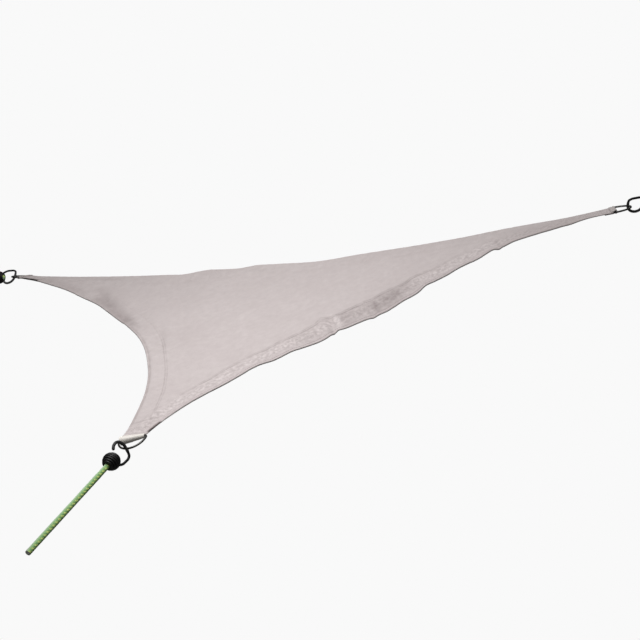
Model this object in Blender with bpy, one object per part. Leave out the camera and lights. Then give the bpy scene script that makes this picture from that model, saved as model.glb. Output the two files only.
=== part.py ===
"""Triangular shade sail held out by three hooked ties, modelled as it hangs.

The cloth is laid out in its own flat frame: the front corner is the zero point, x runs to the right
corner, y to the left corner, z off the upper face. Sizes there are in millimetres. World places them
in the room, in metres, with +Z up and the zero point at the right tie's anchor.
"""
import math

import bmesh
import bpy
import numpy as np

MM = 0.001

# Driving sizes of the cloth
LEG = 1050.0                # ring bar to ring bar along the front and the left edge
LEFT_RISE = 119.0           # how far the left and the right corner hang above the front one
RIGHT_RISE = 361.0
CLOTH = 1.4                 # thickness of the single cloth
HEM = 2.2                   # thickness where the cloth is turned under
HEM_WIDTH = 46.0
END_WIDTH = 50.0            # the cloth's cut end at a corner
END_SETBACK = 4.6           # from the ring bar's centre to that end
SAG = 12.0                  # how far the middle of the cloth drops
DROP_REACH = 72.0           # how far in from an edge its droop reaches
TWIST_REACH = 190.0         # how far in from a corner its twist reaches

# Driving sizes of the fittings
RING_HALF_WIDTH = 26.0
RING_DEPTH = 32.5
RING_WIRE = 3.8
LOOP_WIDTH = 45.0
WEBBING = 1.2
LOWER_TAIL = 22.0           # how far the webbing reaches in under the cloth
HOOK_WIRE = 4.2
HOOK_TIP = 5.6
BALL_TURNS = 7
BALL_START = 57.0           # along the tie, from the ring bar
CORD = 9.6
SOCKET_DEPTH = 20.0
SEAT_GAP = 0.3              # cord to socket
LOOP_GAP = 0.45             # webbing to bar and to cloth
HOOK_GAP = 0.7              # hook to ring
LEFT_CORD_SHOWING = 60.0    # between the left tie's two balls
FRONT_TIE_LENGTH = 314.0    # from the ring bar to the cord's end
TUBE_SIDES = 8
LOOP_STATIONS = 7           # cuts across the webbing, so that it follows the cloth
SEAM_TURN = 6.3             # keeps the ball's facets off the plane of the hook's wire

# Corners: place, the way the ring points, how far the ring and the cloth's end are twisted about that
# way, the way the tie pulls and its lift off the cloth, the hook's turn about the tie, the satin tail
# on top at either end of the bar. Angles are degrees in the flat frame.
CORNERS = {
    #         x      y      ring   twist  pull   lift  hook   tail at start, end of the bar
    "front": (0.0,   0.0,   240.0, 0.0,   220.0, 0.0,  11.0,  11.0, 4.0),
    "left":  (6.0,   LEG,   134.0, 24.0,  142.0, 8.0,  243.0, 9.0, 9.0),
    "right": (LEG,   0.0,   -28.0, -12.0, -25.0, -2.0, 205.0, 9.0, 9.0),
}

# Edges, from one corner's cloth end to the next: the share of the way along, how far the edge curves
# in from the straight line, and how far it droops below the cloth, in millimetres.
EDGES = {
    # share  inward  droop
    "left": ("front", "left", (
        (0.00, 0, 0), (0.02, 17, 0), (0.05, 36, 0), (0.09, 59, 0), (0.14, 85, 0), (0.20, 109, 0),
        (0.27, 128, 0), (0.35, 143, 0), (0.42, 147, 0), (0.46, 145, 0), (0.50, 142, 0), (0.54, 137, 0),
        (0.58, 132, 0), (0.62, 127, 0), (0.66, 121, 0), (0.73, 102, 0), (0.80, 80, 0), (0.86, 52, 0),
        (0.92, 26, 0), (0.96, 8, 0), (1.00, 0, 0))),
    "top": ("left", "right", (
        (0.00, 0, 0), (0.02, 13, 3), (0.05, 27, 5), (0.10, 42, 6), (0.15, 53, 5), (0.20, 62, 4),
        (0.26, 75, 2), (0.31, 86, 0), (0.345, 90, 0), (0.36, 85, 0), (0.38, 80, 0), (0.41, 85, 0),
        (0.44, 89, 0), (0.47, 82, 0), (0.49, 85, 0), (0.52, 89, 0), (0.57, 96, 0), (0.65, 83, 0),
        (0.73, 72, 0), (0.80, 58, 0), (0.86, 37, 0), (0.90, 26, 0), (0.95, 17, 0), (1.00, 0, 0))),
    "front": ("right", "front", (
        (0.00, 0, 0), (0.02, 10, -2), (0.04, 18, -4), (0.08, 36, -4), (0.12, 58, -3), (0.16, 79, -1),
        (0.18, 88, 0), (0.20, 92, 2), (0.22, 101, 3), (0.26, 96, 3), (0.30, 98, 3), (0.34, 96, 5),
        (0.36, 100, 7), (0.38, 102, 8), (0.40, 94, 10), (0.44, 91, 12), (0.48, 83, 13), (0.51, 88, 14),
        (0.54, 94, 15), (0.565, 96, 15), (0.58, 102, 15), (0.60, 91, 14), (0.62, 85, 13), (0.65, 85, 11),
        (0.68, 91, 10), (0.72, 87, 9), (0.75, 93, 8), (0.80, 80, 6), (0.83, 70, 4), (0.86, 64, 3),
        (0.92, 45, 1), (0.96, 27, 1), (1.00, 0, 0))),
}

# Creases in the cloth: both ends in the flat frame, half width and depth (a ridge is less than nought).
CREASES = (
    # x0    y0     x1     y1     width  depth
    (459.0, 138.0, 441.0, 84.0,  7.0,   2.6),
    (442.0, 136.0, 424.0, 86.0,  8.0,   -1.4),
    (545.0, 124.0, 522.0, 70.0,  8.0,   1.8),
    (833.0, 120.0, 822.0, 78.0,  7.0,   2.4),
    (131.0, 722.0, 138.0, 545.0, 12.0,  2.4),
    (627.0, 315.0, 561.0, 276.0, 12.0,  1.4),
)

# The cloth's cells run along three arms, one from each corner, that meet at its middle and at one point
# of each edge. Rows are the cells along an arm, columns the places in from an edge.
MIDDLE = (300.0, 290.0)
EDGE_SPLIT = {"left": 0.42, "top": 0.45, "front": 0.59}
ARM_ROWS = {"front": 26, "left": 34, "right": 42}
HEM_COLUMNS = (0.0, 14.0, 30.0, HEM_WIDTH, HEM_WIDTH + 4.0)
INNER_COLUMNS = 3

# The hook's wire, beside the tie's line: distance from the ring bar, and to the side.
HOOK_PATH = (
    # along side
    (66.0, -11.5),
    (60.0, -16.5),
    (53.0, -19.8),
    (45.0, -20.6),
    (37.0, -20.6),
    (31.5, -18.0),
    (29.3, -12.0),
    (28.6, -5.0),
    (28.6, 2.0),
    (31.0, 9.5),
    (36.0, 15.5),
    (43.0, 18.3),
    (49.5, 17.2),
    (54.0, 13.6),
)
HOOK_SADDLE = 28.6          # where the path crosses the tie's line
TIP_START = 6               # the row of the path where the dipped tip begins
BALL_RADII = (8.6, 11.6, 13.4, 14.1, 13.6, 12.0, 9.2)


# ---------------------------------------------------------------- frames

def unit(v):
    v = np.asarray(v, dtype=float)
    return v / np.linalg.norm(v)


def heading(degrees, lift=0.0):
    """A direction in the flat frame, lifted off the cloth by some degrees."""
    a, b = math.radians(degrees), math.radians(lift)
    return np.array([math.cos(a) * math.cos(b), math.sin(a) * math.cos(b), math.sin(b)])


def world_axes():
    """Rows: the world's X, Y and Z in the flat frame. X runs level from the left to the right corner."""
    up = np.array([RIGHT_RISE / LEG, LEFT_RISE / LEG, 0.0])
    up[2] = math.sqrt(1.0 - up[0] ** 2 - up[1] ** 2)
    across = unit([1.0, -1.0, 0.0])
    across = unit(across - (across @ up) * up)
    return np.array([across, np.cross(up, across), up])


class Corner:
    """Where one corner's ring, cloth end and tie lie in the flat frame."""

    def __init__(self, name):
        x, y, ring, twist, pull, lift, hook, tail_start, tail_end = CORNERS[name]
        self.place = np.array([x, y, 0.0])
        self.ring_way = heading(ring)
        flat_bar = heading(ring + 90.0)
        t = math.radians(twist)
        self.bar = math.cos(t) * flat_bar + math.sin(t) * np.array([0.0, 0.0, 1.0])
        self.flat_bar = flat_bar
        self.slope = math.tan(t)
        self.normal = np.cross(self.ring_way, self.bar)
        self.pull = heading(pull, lift)
        upright = unit(np.array([0.0, 0.0, 1.0]) - self.pull[2] * self.pull)
        beside = np.cross(self.pull, upright)
        h = math.radians(hook)
        self.hook_side = math.cos(h) * upright + math.sin(h) * beside
        self.tails = (tail_start, tail_end)
        swung = heading(ring, lift)
        self.bow_way = unit(swung - (swung @ self.bar) * self.bar)
        bow = 1.0 / math.hypot(self.pull @ self.bar / RING_HALF_WIDTH, self.pull @ self.bow_way / RING_DEPTH)
        self.seat = bow - 0.5 * RING_WIRE - HOOK_GAP - 0.5 * HOOK_TIP - HOOK_SADDLE

    def tie_point(self, along, side=0.0):
        """A point of the tie. The tie starts where the hook seats in the ring's bow."""
        return self.place + (along + self.seat) * self.pull + side * self.hook_side

    def cloth_end(self, side):
        """One end of the cloth's cut end: side -1 is where the bar starts, +1 where it ends."""
        back = self.place - END_SETBACK * self.ring_way
        return (back + side * 0.5 * END_WIDTH * self.flat_bar)[:2]


CORNER = {name: Corner(name) for name in CORNERS}
BALL_PITCH = HOOK_WIRE + 0.1
BALL_LENGTH = BALL_TURNS * BALL_PITCH
BALL_END = BALL_START + BALL_LENGTH
AXES = world_axes()
ANCHOR = CORNER["right"].tie_point(BALL_END)


def world(points):
    """Flat-frame millimetres to world metres."""
    return (np.asarray(points, dtype=float) - ANCHOR) @ AXES.T * MM


# ---------------------------------------------------------------- the cloth's shape

def smooth_table(rows, x):
    """A smooth curve through a table's rows: first column against each of the others."""
    rows = np.asarray(rows, dtype=float)
    t, values = rows[:, 0], rows[:, 1:]
    step = np.diff(t)[:, None]
    slope = np.diff(values, axis=0) / step
    tangent = np.empty_like(values)
    tangent[1:-1] = (slope[:-1] * step[1:] + slope[1:] * step[:-1]) / (step[:-1] + step[1:])
    tangent[0] = 2.0 * slope[0] - tangent[1]
    tangent[-1] = 2.0 * slope[-1] - tangent[-2]
    x = np.clip(x, t[0], t[-1])
    i = np.clip(np.searchsorted(t, x) - 1, 0, len(t) - 2)
    w = t[i + 1] - t[i]
    u = ((x - t[i]) / w)[:, None]
    w = w[:, None]
    start, end = values[i], values[i + 1]
    m0, m1 = tangent[i] * w, tangent[i + 1] * w
    return ((2 * u ** 3 - 3 * u ** 2 + 1) * start + (u ** 3 - 2 * u ** 2 + u) * m0
            + (3 * u ** 2 - 2 * u ** 3) * end + (u ** 3 - u ** 2) * m1)


class Edge:
    """One edge of the cloth, walked clockwise, so the cloth is on its right."""

    def __init__(self, name):
        start, end, self.rows = EDGES[name]
        self.start = CORNER[start].cloth_end(-1)
        self.end = CORNER[end].cloth_end(1)
        self.length = np.linalg.norm(self.end - self.start)
        self.way = (self.end - self.start) / self.length
        self.inward = np.array([self.way[1], -self.way[0]])

    def point(self, share):
        """A point of the edge in the flat frame, and the edge's own direction there."""
        shares = np.array([share, share + 0.002, share - 0.002])
        curve_in = smooth_table(self.rows, shares)[:, 0]
        place = self.start + share * self.length * self.way + curve_in[0] * self.inward
        slope = (curve_in[1] - curve_in[2]) / (0.004 * self.length)
        return place, unit(self.way + slope * self.inward)

    def depth(self, flat):
        """How far in from the edge each flat point lies, and the edge's droop beside it."""
        offset = flat - self.start
        share = offset @ self.way / self.length
        table = smooth_table(self.rows, share)
        slope = (smooth_table(self.rows, share + 0.005) - smooth_table(self.rows, share - 0.005))[:, 0]
        slope = slope / (0.01 * self.length)
        return (offset @ self.inward - table[:, 0]) / np.sqrt(1.0 + slope ** 2), table[:, 1]


EDGE = {name: Edge(name) for name in EDGES}


def edge_depth(flat):
    """Distance in from the nearest edge."""
    return np.min([edge.depth(flat)[0] for edge in EDGE.values()], axis=0)


def creases(flat):
    """How deep the creases press into the cloth."""
    deep = np.zeros(len(flat))
    for x0, y0, x1, y1, width, depth in CREASES:
        start, end = np.array([x0, y0]), np.array([x1, y1])
        run = end - start
        along = np.clip((flat - start) @ run / (run @ run), 0.0, 1.0)
        away = np.linalg.norm(flat - start - along[:, None] * run, axis=1)
        deep += depth * np.exp(-(away / width) ** 2)
    return deep


def height(flat):
    """How far the cloth's middle stands off its flat frame."""
    share_right = flat[:, 0] / LEG
    share_left = flat[:, 1] / LEG
    share_front = 1.0 - share_right - share_left
    spread = 1.0 - share_right ** 2 - share_left ** 2 - share_front ** 2
    z = -1.5 * SAG * spread
    for corner in CORNER.values():
        offset = flat - corner.place[:2]
        far = np.sum(offset ** 2, axis=1) / TWIST_REACH ** 2
        z += corner.slope * (offset @ corner.flat_bar[:2]) * np.exp(-far)
    for edge in EDGE.values():
        depth, droop = edge.depth(flat)
        z -= droop * np.clip(1.0 - depth / DROP_REACH, 0.0, 1.0) ** 2
    return z - creases(flat)


def half_row(edge, share, middle):
    """Flat points from an edge in to the arm's middle line, with columns along the hem."""
    place, tangent = edge.point(share)
    run = middle - place
    reach = np.linalg.norm(run)
    way = run / reach
    squareness = abs(way[0] * tangent[1] - way[1] * tangent[0])
    hem = np.array(HEM_COLUMNS) / squareness
    hem *= min(1.0, 0.8 * reach / hem[-1])
    inner = np.linspace(hem[-1], reach, INNER_COLUMNS + 1)[1:]
    return place + np.outer(np.concatenate([hem, inner]), way)


def arm_rows(name):
    """The flat points of one arm of the cloth, from its corner's end to the cloth's middle."""
    leaving = next(e for e in EDGES if EDGES[e][0] == name)
    arriving = next(e for e in EDGES if EDGES[e][1] == name)
    corner = CORNER[name]
    tip = 0.5 * (corner.cloth_end(-1) + corner.cloth_end(1))
    rows = []
    for s in np.linspace(0.0, 1.0, ARM_ROWS[name] + 1):
        middle = tip + s * (np.array(MIDDLE) - tip)
        first = half_row(EDGE[leaving], s * EDGE_SPLIT[leaving], middle)
        last = half_row(EDGE[arriving], 1.0 - s * (1.0 - EDGE_SPLIT[arriving]), middle)
        rows.append(np.concatenate([first, last[-2::-1]]))
    return np.array(rows)


def cloth_grid():
    """All the flat points of the cloth, each once, and the four-sided cells between them."""
    number, points, cells = {}, [], []
    for name in CORNERS:
        rows = arm_rows(name)
        index = np.empty(rows.shape[:2], dtype=int)
        for r, row in enumerate(rows):
            for c, point in enumerate(row):
                key = (round(point[0], 2), round(point[1], 2))
                if key not in number:
                    number[key] = len(points)
                    points.append(point)
                index[r, c] = number[key]
        for r in range(len(rows) - 1):
            for c in range(rows.shape[1] - 1):
                cells.append((index[r, c], index[r, c + 1], index[r + 1, c + 1], index[r + 1, c]))
    return np.array(points), cells


# ---------------------------------------------------------------- making objects

def material(name, colour, roughness, metallic=0.0):
    made = bpy.data.materials.new(name)
    made.use_nodes = True
    shader = made.node_tree.nodes["Principled BSDF"]
    shader.inputs["Base Color"].default_value = (*colour, 1.0)
    shader.inputs["Roughness"].default_value = roughness
    shader.inputs["Metallic"].default_value = metallic
    made.diffuse_color = (*colour, 1.0)
    return made


def add_object(name, data, finish):
    made = bpy.data.objects.new(name, data)
    data.materials.append(finish)
    bpy.context.scene.collection.objects.link(made)
    return made


def add_tube(name, points, diameter, finish, radii=None, closed=False):
    """A round wire or cord on a polyline of flat-frame points."""
    curve = bpy.data.curves.new(name, "CURVE")
    curve.dimensions = "3D"
    curve.bevel_depth = 0.5 * diameter * MM
    curve.bevel_resolution = TUBE_SIDES // 4
    curve.use_fill_caps = True
    spline = curve.splines.new("POLY")
    placed = world(points)
    spline.points.add(len(placed) - 1)
    for number, place in enumerate(placed):
        spline.points[number].co = (*place, 1.0)
        spline.points[number].radius = 1.0 if radii is None else radii[number]
    spline.use_cyclic_u = closed
    return add_object(name, curve, finish)


def path_through(points, count):
    """Evenly spread points on a smooth curve through a short list of points."""
    points = np.asarray(points, dtype=float)
    steps = np.linalg.norm(np.diff(points[:, :2], axis=0), axis=1)
    table = np.column_stack([np.concatenate([[0.0], np.cumsum(steps)]), points])
    return smooth_table(table, np.linspace(0.0, table[-1, 0], count))


def face_out(shape):
    """Weld the shape's seams and turn all of its faces outward."""
    bmesh.ops.remove_doubles(shape, verts=shape.verts, dist=5e-6)
    bmesh.ops.recalc_face_normals(shape, faces=shape.faces)
    if shape.calc_volume(signed=True) < 0.0:
        bmesh.ops.reverse_faces(shape, faces=shape.faces)


def weld(mesh):
    shape = bmesh.new()
    shape.from_mesh(mesh)
    face_out(shape)
    shape.to_mesh(mesh)
    shape.free()


def shade_smooth(made, angle=0.7):
    made.data.shade_smooth()
    made.data.set_sharp_from_angle(angle=angle)


# ---------------------------------------------------------------- the pieces

def make_sail(finish):
    flat, cells = cloth_grid()
    z = height(flat)
    probe = 0.5
    slope_x = (height(flat + (probe, 0.0)) - height(flat - (probe, 0.0))) / (2.0 * probe)
    slope_y = (height(flat + (0.0, probe)) - height(flat - (0.0, probe))) / (2.0 * probe)
    normal = np.column_stack([-slope_x, -slope_y, np.ones(len(flat))])
    normal /= np.linalg.norm(normal, axis=1)[:, None]
    in_hem = np.clip((HEM_WIDTH + 3.0 - edge_depth(flat)) / 3.0, 0.0, 1.0)
    half = 0.5 * (CLOTH + (HEM - CLOTH) * in_hem)[:, None]
    middle = np.column_stack([flat, z])
    verts = world(np.concatenate([middle + half * normal, middle - half * normal]))
    under = len(flat)
    faces = [tuple(cell) for cell in cells]
    faces += [tuple(under + corner for corner in reversed(cell)) for cell in cells]
    sides = {(cell[k], cell[(k + 1) % 4]) for cell in cells for k in range(4)}
    for a, b in sides:
        if (b, a) not in sides:
            faces.append((b, a, a + under, b + under))
    mesh = bpy.data.meshes.new("sail")
    mesh.from_pydata([tuple(v) for v in verts], [], faces)
    weld(mesh)
    made = add_object("sail", mesh, finish)
    shade_smooth(made)
    return made


def make_ring(name, corner, finish):
    """A D-ring: a straight bar with rounded ends, and a half-oval bow."""
    straight = [(u, 0.0) for u in np.linspace(-0.82, 0.82, 6)]
    bow = [(math.cos(a), math.sin(a)) for a in np.linspace(0.0, math.pi, 25)]
    outline = straight + [(0.95, 0.02)] + bow[1:-1] + [(-0.95, 0.02)]
    outline = [(u * RING_HALF_WIDTH, v * RING_DEPTH) for u, v in outline]
    points = [corner.place + u * corner.bar + v * corner.bow_way for u, v in outline]
    made = add_tube(name, points, RING_WIRE, finish, closed=True)
    return made


def loop_section(tail):
    """The webbing's two faces across the bar: round it, then flat above and below the cloth's end."""
    inner = 0.5 * RING_WIRE + LOOP_GAP
    flat_inner = 0.5 * HEM + LOOP_GAP
    turn = [math.radians(a) for a in np.linspace(110.0, -110.0, 12)]
    faces = []
    for radius, flat in ((inner, flat_inner), (inner + WEBBING, flat_inner + WEBBING)):
        upper = [(-out, flat) for out in np.linspace(tail, 2.5, 3)]
        lower = [(-out, -flat) for out in np.linspace(2.5, LOWER_TAIL, 4)]
        faces.append(upper + [(radius * math.cos(a), radius * math.sin(a)) for a in turn] + lower)
    return faces


def loop_point(corner, out, up, side):
    """A point of the webbing: beside the bar it follows the bar, further back it follows the cloth."""
    if out > -2.4:
        base = corner.place + side * corner.bar + out * corner.ring_way
    else:
        level = side * (corner.bar @ corner.flat_bar)
        flat = (corner.place + level * corner.flat_bar + out * corner.ring_way)[:2]
        base = np.array([*flat, height(flat[None, :])[0]])
    return base + up * corner.normal


def make_loop(name, corner, finish):
    shape = bmesh.new()
    inner, outer = [], []
    for share in np.linspace(0.0, 1.0, LOOP_STATIONS):
        side = (share - 0.5) * LOOP_WIDTH
        tail = corner.tails[0] + share * (corner.tails[1] - corner.tails[0])
        for face, rows in zip(loop_section(tail), (inner, outer)):
            rows.append([shape.verts.new(world(loop_point(corner, out, up, side))) for out, up in face])
    around = outer + inner[::-1]
    for first, second in zip(around, around[1:] + around[:1]):
        for k in range(len(first) - 1):
            shape.faces.new((first[k], first[k + 1], second[k + 1], second[k]))
    for end in (0, -1):
        for k in range(LOOP_STATIONS - 1):
            shape.faces.new((outer[k][end], outer[k + 1][end], inner[k + 1][end], inner[k][end]))
    face_out(shape)
    mesh = bpy.data.meshes.new(name)
    shape.to_mesh(mesh)
    shape.free()
    made = add_object(name, mesh, finish)
    shade_smooth(made)
    return made


def ball_profile(holds_cord):
    """Distance along the tie and radius of the wound ball's outside, then of the cord's socket."""
    profile = [(BALL_START, 0.0), (BALL_START, BALL_RADII[0] - 0.5)]
    for turn, radius in enumerate(BALL_RADII):
        middle = BALL_START + (turn + 0.5) * BALL_PITCH
        wire = 0.5 * HOOK_WIRE
        profile += [(middle - 0.32 * BALL_PITCH, radius + 0.72 * wire), (middle, radius + wire),
                    (middle + 0.32 * BALL_PITCH, radius + 0.72 * wire)]
        if turn + 1 < BALL_TURNS:
            between = 0.5 * (radius + BALL_RADII[turn + 1])
            profile.append((middle + 0.5 * BALL_PITCH, between + 0.3 * wire))
    profile.append((BALL_END, BALL_RADII[-1] - 0.5))
    if holds_cord:
        socket = 0.5 * CORD + SEAT_GAP + 0.1
        profile += [(BALL_END, socket), (BALL_END - SOCKET_DEPTH, socket)]
    profile.append((profile[-1][0], 0.0))
    return profile


def make_hook(name, corner, finish, holds_cord=True, from_far_end=None):
    """The bent wire and its wound ball as one solid. from_far_end turns it about to face away."""
    def place(along, side):
        if from_far_end is not None:
            along, side = from_far_end - along, -side
        return corner.tie_point(along, side)

    wire_path = path_through(HOOK_PATH, 44)
    thick = HOOK_TIP / HOOK_WIRE
    tip_share = TIP_START / (len(HOOK_PATH) - 1)
    radii = [1.0 + (thick - 1.0) * min(1.0, max(0.0, (k / 43.0 - tip_share) / 0.06)) for k in range(44)]
    wire = add_tube(name + "_wire", [place(a, s) for a, s in wire_path], HOOK_WIRE, finish, radii)
    bpy.context.view_layer.update()
    wire_mesh = bpy.data.meshes.new_from_object(wire.evaluated_get(bpy.context.evaluated_depsgraph_get()))
    bpy.data.objects.remove(wire)
    weld(wire_mesh)
    guide = add_object(name + "_guide", wire_mesh, finish)
    guide.hide_render = True
    guide.display_type = "WIRE"

    shape = bmesh.new()
    start = world(place(0.0, 0.0))
    axis = unit(world(place(1.0, 0.0)) - start)
    seam = math.radians(SEAM_TURN)
    beside = np.cross(corner.pull, corner.hook_side)
    chain = [shape.verts.new(world(place(a, r * math.cos(seam)) + r * math.sin(seam) * beside))
             for a, r in ball_profile(holds_cord)]
    edges = [shape.edges.new(pair) for pair in zip(chain, chain[1:])]
    bmesh.ops.spin(shape, geom=chain + edges, cent=start, axis=axis, angle=2.0 * math.pi, steps=24,
                   use_merge=True)
    face_out(shape)
    mesh = bpy.data.meshes.new(name)
    shape.to_mesh(mesh)
    shape.free()
    made = add_object(name, mesh, finish)
    join = made.modifiers.new("join", "BOOLEAN")
    join.operation = "UNION"
    join.object = guide
    shade_smooth(made)
    return made


def make_cord(name, corner, start, end, finish):
    """An elastic cord held straight along the tie."""
    count = max(4, int((end - start) / (2.5 * CORD)) + 1)
    return add_tube(name, [corner.tie_point(a) for a in np.linspace(start, end, count)], CORD, finish)


def build():
    for old in list(bpy.data.objects):
        bpy.data.objects.remove(old)
    cloth = material("cloth", (0.62, 0.56, 0.54), 0.9)
    satin = material("satin", (0.72, 0.70, 0.67), 0.45)
    steel = material("steel", (0.45, 0.44, 0.43), 0.3, 1.0)
    coated = material("coated_wire", (0.02, 0.02, 0.02), 0.35)
    elastic = material("elastic", (0.20, 0.42, 0.12), 0.7)
    make_sail(cloth)
    for name, corner in CORNER.items():
        make_ring("ring_" + name, corner, steel)
        make_loop("loop_" + name, corner, satin)
        make_hook("hook_" + name, corner, coated, holds_cord=name != "right")
    cord_start = BALL_END - SOCKET_DEPTH + SEAT_GAP
    make_cord("cord_front", CORNER["front"], cord_start, FRONT_TIE_LENGTH, elastic)
    far_end = 2.0 * BALL_END + LEFT_CORD_SHOWING
    make_cord("cord_left", CORNER["left"], cord_start, far_end - cord_start, elastic)
    make_hook("hook_left_end", CORNER["left"], coated, from_far_end=far_end)


build()
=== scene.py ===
"""The looks of the shade sail: hemmed cloth, stitching, satin loops, rings, coiled hooks and cords.

Flat frame: zero is the front corner's ring, x runs to the right corner, y to the left corner, and z
off the upper face, in millimetres. world() puts a point of it in the room, in metres.
"""
import math

import bmesh
import bpy
import numpy as np
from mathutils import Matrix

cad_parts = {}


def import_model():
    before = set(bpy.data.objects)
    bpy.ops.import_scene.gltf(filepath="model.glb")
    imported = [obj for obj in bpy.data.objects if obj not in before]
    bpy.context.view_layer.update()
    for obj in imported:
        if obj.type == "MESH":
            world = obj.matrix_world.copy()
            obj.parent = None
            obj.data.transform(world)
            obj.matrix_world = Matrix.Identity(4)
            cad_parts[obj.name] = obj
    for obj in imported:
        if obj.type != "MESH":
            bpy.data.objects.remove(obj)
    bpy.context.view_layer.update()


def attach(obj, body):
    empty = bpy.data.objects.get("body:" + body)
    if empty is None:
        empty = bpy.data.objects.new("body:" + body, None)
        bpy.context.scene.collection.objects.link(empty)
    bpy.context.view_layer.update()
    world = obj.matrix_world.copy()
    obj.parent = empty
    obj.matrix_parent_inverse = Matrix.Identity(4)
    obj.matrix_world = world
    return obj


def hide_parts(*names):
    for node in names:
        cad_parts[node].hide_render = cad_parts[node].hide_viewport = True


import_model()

MM = 0.001
WELD = 2e-6                 # metres within which two points of a mesh become one

# The sail as it hangs
LEG = 1050.0                # ring bar to ring bar along the front and the left edge
LEFT_RISE = 119.0           # how far the left and right corners hang above the front one
RIGHT_RISE = 361.0
CLOTH = 1.4                 # thickness of the single cloth, and of its hem
HEM = 2.2
HEM_WIDTH = 46.0
HEM_FOLD = HEM_WIDTH + 1.8  # where the step down from the hem ends
END_WIDTH = 50.0            # the cloth's end at a corner, and how far it stays behind the bar
END_SETBACK = 4.6
SAG = 12.0
DROP_REACH = 72.0           # how far in from its edge a droop fades out
TWIST_REACH = 190.0         # how far from its corner a twist fades out

# The fittings
RING_HALF_WIDTH = 26.0
RING_DEPTH = 32.5
RING_WIRE = 3.8
LOOP_WIDTH = 45.0
WEBBING = 1.2               # thickness of the satin webbing
LOWER_TAIL = 22.0           # its reach under the cloth
HOOK_WIRE = 4.2
HOOK_COAT = 0.32            # the coating on the bent part of the wire
HOOK_TIP = 5.6              # the dipped end, across
BALL_TURNS = 7
BALL_PITCH = HOOK_WIRE + 0.1
BALL_START = 57.0
BALL_END = BALL_START + BALL_TURNS * BALL_PITCH
CORD = 9.6
SOCKET_DEPTH = 20.0
SEAT_GAP = 0.3
LOOP_GAP = 0.45
HOOK_GAP = 0.7
LEFT_CORD_SHOWING = 60.0
FRONT_TIE_LENGTH = 314.0
CORD_START = BALL_END - SOCKET_DEPTH + SEAT_GAP
LEFT_TIE_END = 2.0 * BALL_END + LEFT_CORD_SHOWING

CORNERS = {
    #         x      y      ring   twist  pull   lift  hook   tail at start, end of the bar
    "front": (0.0,   0.0,   240.0, 0.0,   220.0, 0.0,  11.0,  11.0, 4.0),
    "left":  (6.0,   LEG,   134.0, 24.0,  142.0, 8.0,  243.0, 9.0, 9.0),
    "right": (LEG,   0.0,   -28.0, -12.0, -25.0, -2.0, 205.0, 9.0, 9.0),
}

# Each edge from corner to corner: the share of the way, how far inward it is cut, and its droop.
EDGES = {
    # share  inward  droop
    "left": ("front", "left", (
        (0.00, 0, 0), (0.02, 17, 0), (0.05, 36, 0), (0.09, 59, 0), (0.14, 85, 0), (0.20, 109, 0),
        (0.27, 128, 0), (0.35, 143, 0), (0.42, 147, 0), (0.46, 145, 0), (0.50, 142, 0), (0.54, 137, 0),
        (0.58, 132, 0), (0.62, 127, 0), (0.66, 121, 0), (0.73, 102, 0), (0.80, 80, 0), (0.86, 52, 0),
        (0.92, 26, 0), (0.96, 8, 0), (1.00, 0, 0))),
    "top": ("left", "right", (
        (0.00, 0, 0), (0.02, 13, 3), (0.05, 27, 5), (0.10, 42, 6), (0.15, 53, 5), (0.20, 62, 4),
        (0.26, 75, 2), (0.31, 86, 0), (0.345, 90, 0), (0.36, 85, 0), (0.38, 80, 0), (0.41, 85, 0),
        (0.44, 89, 0), (0.47, 82, 0), (0.49, 85, 0), (0.52, 89, 0), (0.57, 96, 0), (0.65, 83, 0),
        (0.73, 72, 0), (0.80, 58, 0), (0.86, 37, 0), (0.90, 26, 0), (0.95, 17, 0), (1.00, 0, 0))),
    "front": ("right", "front", (
        (0.00, 0, 0), (0.02, 10, -2), (0.04, 18, -4), (0.08, 36, -4), (0.12, 58, -3), (0.16, 79, -1),
        (0.18, 88, 0), (0.20, 92, 2), (0.22, 101, 3), (0.26, 96, 3), (0.30, 98, 3), (0.34, 96, 5),
        (0.36, 100, 7), (0.38, 102, 8), (0.40, 94, 10), (0.44, 91, 12), (0.48, 83, 13), (0.51, 88, 14),
        (0.54, 94, 15), (0.565, 96, 15), (0.58, 102, 15), (0.60, 91, 14), (0.62, 85, 13), (0.65, 85, 11),
        (0.68, 91, 10), (0.72, 87, 9), (0.75, 93, 8), (0.80, 80, 6), (0.83, 70, 4), (0.86, 64, 3),
        (0.92, 45, 1), (0.96, 27, 1), (1.00, 0, 0))),
}

# Where each hem's inner seam runs, in from the edge, and how plainly it shows.
SEAMS = {
    # share  inset  shade
    "left": ((0.00, 37, 0.15), (0.08, 37, 0.45), (0.26, 36, 0.55), (0.31, 38, 0.60), (0.38, 40, 0.20),
             (0.50, 41, 0.10), (1.00, 40, 0.10)),
    "top": ((0.00, 40, 0.06), (1.00, 40, 0.06)),
    "front": ((0.00, 40, 0.15), (0.28, 40, 0.30), (0.34, 39, 0.70), (0.40, 41, 0.90), (0.45, 47, 1.00),
              (0.49, 49, 1.00), (0.52, 44, 0.95), (0.56, 41, 0.80), (0.585, 41, 0.85), (0.61, 46, 0.90),
              (0.63, 46, 0.90), (0.67, 40, 0.90), (0.72, 39, 0.90), (0.76, 35, 0.70), (0.80, 40, 0.80),
              (0.87, 42, 0.75), (0.92, 42, 0.30), (1.00, 40, 0.30)),
}

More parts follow.
